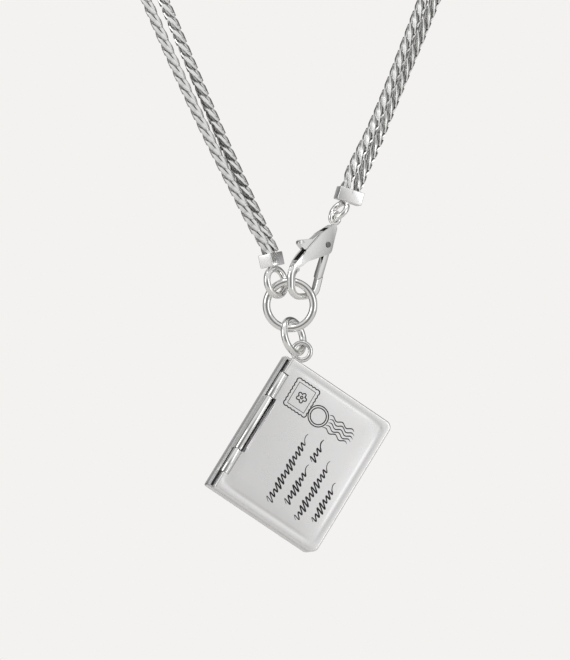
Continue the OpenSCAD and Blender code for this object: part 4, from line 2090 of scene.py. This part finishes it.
@dataclass
class Studio:
    """The pale floor, the soft light and the camera.

    The bands of the room that silver mirrors are [place, brightness], from the viewer's side, 0, to
    the far side, 1.
    """

    backdrop: tuple[float, float, float] = (0.905, 0.887, 0.871)
    view_height: float = 113.52
    sensor_height: float = 24.0
    distance: float = 1500.0
    clip: float = 20.0
    aim: Point = (-0.86, 0.0, -4.3)
    floor_drop: float = 130.0
    floor_radius: float = 0.45
    floor_roughness: float = 0.7
    bands: tuple[Spot, ...] = (
        (0.0, 0.2), (0.03, 0.3), (0.09, 0.7), (0.25, 0.8), (0.42, 0.76), (0.55, 0.42),
        (0.68, 0.16), (0.84, 0.08), (0.91, 0.3), (1.0, 0.5),
    )
    blue_share: float = 0.99
    cards: tuple[Card, ...] = (
        Card(way=(-0.38, 0.68, 0.62), inner=8.0, outer=20.0, value=0.62),
        Card(way=(0.83, 0.56, 0.0), inner=8.0, outer=17.0, value=0.6),
    )
    softboxes: tuple[Softbox, ...] = (
        Softbox("left_softbox", (-420, -260, 180), (160, 300), 0.32),
        Softbox("right_softbox", (460, -330, 60), (120, 360), 0.22),
        Softbox("top_softbox", (0, -120, 520), (300, 160), 0.5),
    )
    lit_middle: Point = (0.0, 0.0, -15.0)

    def _floor(self) -> None:
        """Makes the floor, a pale disc well under the locket."""
        Bench.clear()
        middle = (0, RING_AT.y * MM, (RING_AT.z - self.floor_drop) * MM)
        bpy.ops.mesh.primitive_circle_add(
            vertices=96, radius=self.floor_radius, fill_type="NGON", location=middle
        )
        floor = Bench.added("floor")
        material = bpy.data.materials.new("pale_floor")
        material.use_nodes = True
        shader = material.node_tree.nodes["Principled BSDF"]
        shader.inputs["Base Color"].default_value = (*self.backdrop, 1.0)
        shader.inputs["Roughness"].default_value = self.floor_roughness
        floor.data.materials.append(material)

    def _room(self, tree: bpy.types.NodeTree) -> bpy.types.NodeSocket:
        """Builds the room that silver mirrors: soft bright and dark bands, and the cards.

        Args:
            tree: The world's nodes.

        Returns:
            The room's colour.
        """
        new, link = tree.nodes.new, tree.links.new
        place = new("ShaderNodeTexCoord")
        split = new("ShaderNodeSeparateXYZ")
        ahead = new("ShaderNodeMapRange")
        ahead.inputs["From Min"].default_value = -1.0
        ahead.inputs["From Max"].default_value = 1.0
        ramp = new("ShaderNodeValToRGB")
        ramp.color_ramp.interpolation = "EASE"
        elements = ramp.color_ramp.elements
        while len(elements) < len(self.bands):
            elements.new(0.5)
        for element, (position, value) in zip(elements, self.bands):
            element.position = position
            element.color = (value, value, value * self.blue_share, 1.0)
        link(place.outputs["Generated"], split.inputs["Vector"])
        link(split.outputs["Y"], ahead.inputs["Value"])
        link(ahead.outputs["Result"], ramp.inputs["Fac"])
        light = ramp.outputs["Color"]
        for card in self.cards:
            toward = new("ShaderNodeVectorMath")
            toward.operation = "DOT_PRODUCT"
            toward.inputs[1].default_value = Vector(card.way).normalized()
            reach = new("ShaderNodeMapRange")
            reach.interpolation_type = "SMOOTHSTEP"
            reach.inputs["From Min"].default_value = math.cos(math.radians(card.outer))
            reach.inputs["From Max"].default_value = math.cos(math.radians(card.inner))
            lit = new("ShaderNodeMix")
            lit.data_type = "RGBA"
            lit.inputs["B"].default_value = (card.value, card.value, card.value, 1.0)
            link(place.outputs["Generated"], toward.inputs[0])
            link(toward.outputs["Value"], reach.inputs["Value"])
            link(reach.outputs["Result"], lit.inputs["Factor"])
            link(light, lit.inputs["A"])
            light = lit.outputs["Result"]
        return light

    def _world(self) -> None:
        """Gives the world: plain and pale where the camera looks, and the room for reflections."""
        world = bpy.data.worlds.new("studio")
        world.use_nodes = True
        tree = world.node_tree
        tree.nodes.clear()
        new, link = tree.nodes.new, tree.links.new
        room = new("ShaderNodeBackground")
        link(self._room(tree), room.inputs["Color"])
        seen = new("ShaderNodeBackground")
        seen.inputs["Color"].default_value = (*self.backdrop, 1.0)
        path = new("ShaderNodeLightPath")
        mix = new("ShaderNodeMixShader")
        out = new("ShaderNodeOutputWorld")
        link(path.outputs["Is Camera Ray"], mix.inputs["Fac"])
        link(room.outputs["Background"], mix.inputs[1])
        link(seen.outputs["Background"], mix.inputs[2])
        link(mix.outputs["Shader"], out.inputs["Surface"])
        bpy.context.scene.world = world

    def _softbox(self, box: Softbox) -> None:
        """Adds a softbox that looks at the pendant.

        Args:
            box: The softbox.
        """
        light = bpy.data.lights.new(box.name, "AREA")
        light.shape = "RECTANGLE"
        light.size, light.size_y = box.size[0] * MM, box.size[1] * MM
        light.energy = box.power
        obj = bpy.data.objects.new(box.name, light)
        bpy.context.scene.collection.objects.link(obj)
        obj.location = (RING_AT + Vector(box.at)) * MM
        target = (RING_AT + Vector(self.lit_middle)) * MM
        obj.rotation_euler = (target - obj.location).to_track_quat("-Z", "Y").to_euler()

    def _camera(self) -> None:
        """Adds the camera, level with the pendant and far off."""
        camera = bpy.data.cameras.new("camera")
        camera.sensor_fit = "VERTICAL"
        camera.sensor_height = self.sensor_height
        camera.lens = camera.sensor_height * self.distance / self.view_height
        camera.clip_end = self.clip
        obj = bpy.data.objects.new("camera", camera)
        bpy.context.scene.collection.objects.link(obj)
        obj.location = (RING_AT + Vector(self.aim) - Vector((0, self.distance, 0))) * MM
        obj.rotation_euler = (math.radians(90), 0, 0)
        bpy.context.scene.camera = obj

    def build(self) -> None:
        """Sets up the studio."""
        self._floor()
        self._world()
        for box in self.softboxes:
            self._softbox(box)
        self._camera()
        bpy.context.scene.view_settings.view_transform = "Standard"


def main() -> None:
    """Builds every piece of the necklace and the studio around it."""
    logging.basicConfig(level=logging.INFO, format="%(name)s: %(message)s")
    Studio().build()
    finishes = Finishes()
    caps = CapPlaces()
    route = Route(caps)
    facing = (0.66, 0.751, 0.0)
    WovenChain(Strand.OUTER, route, finishes, left_face=(-0.2, 0.98, 0), right_face=facing).build()
    WovenChain(Strand.INNER, route, finishes, left_face=(-0.56, 0.828, 0), right_face=facing).build()
    EndCaps(caps, finishes).build()
    rings = WireRings(finishes)
    rings.build()
    Clasp(finishes, caps).build()
    shape = LocketShape(rings)
    Locket(shape, finishes).build()
    Engraving(shape, finishes).build()


if __name__ == "__main__":
    main()
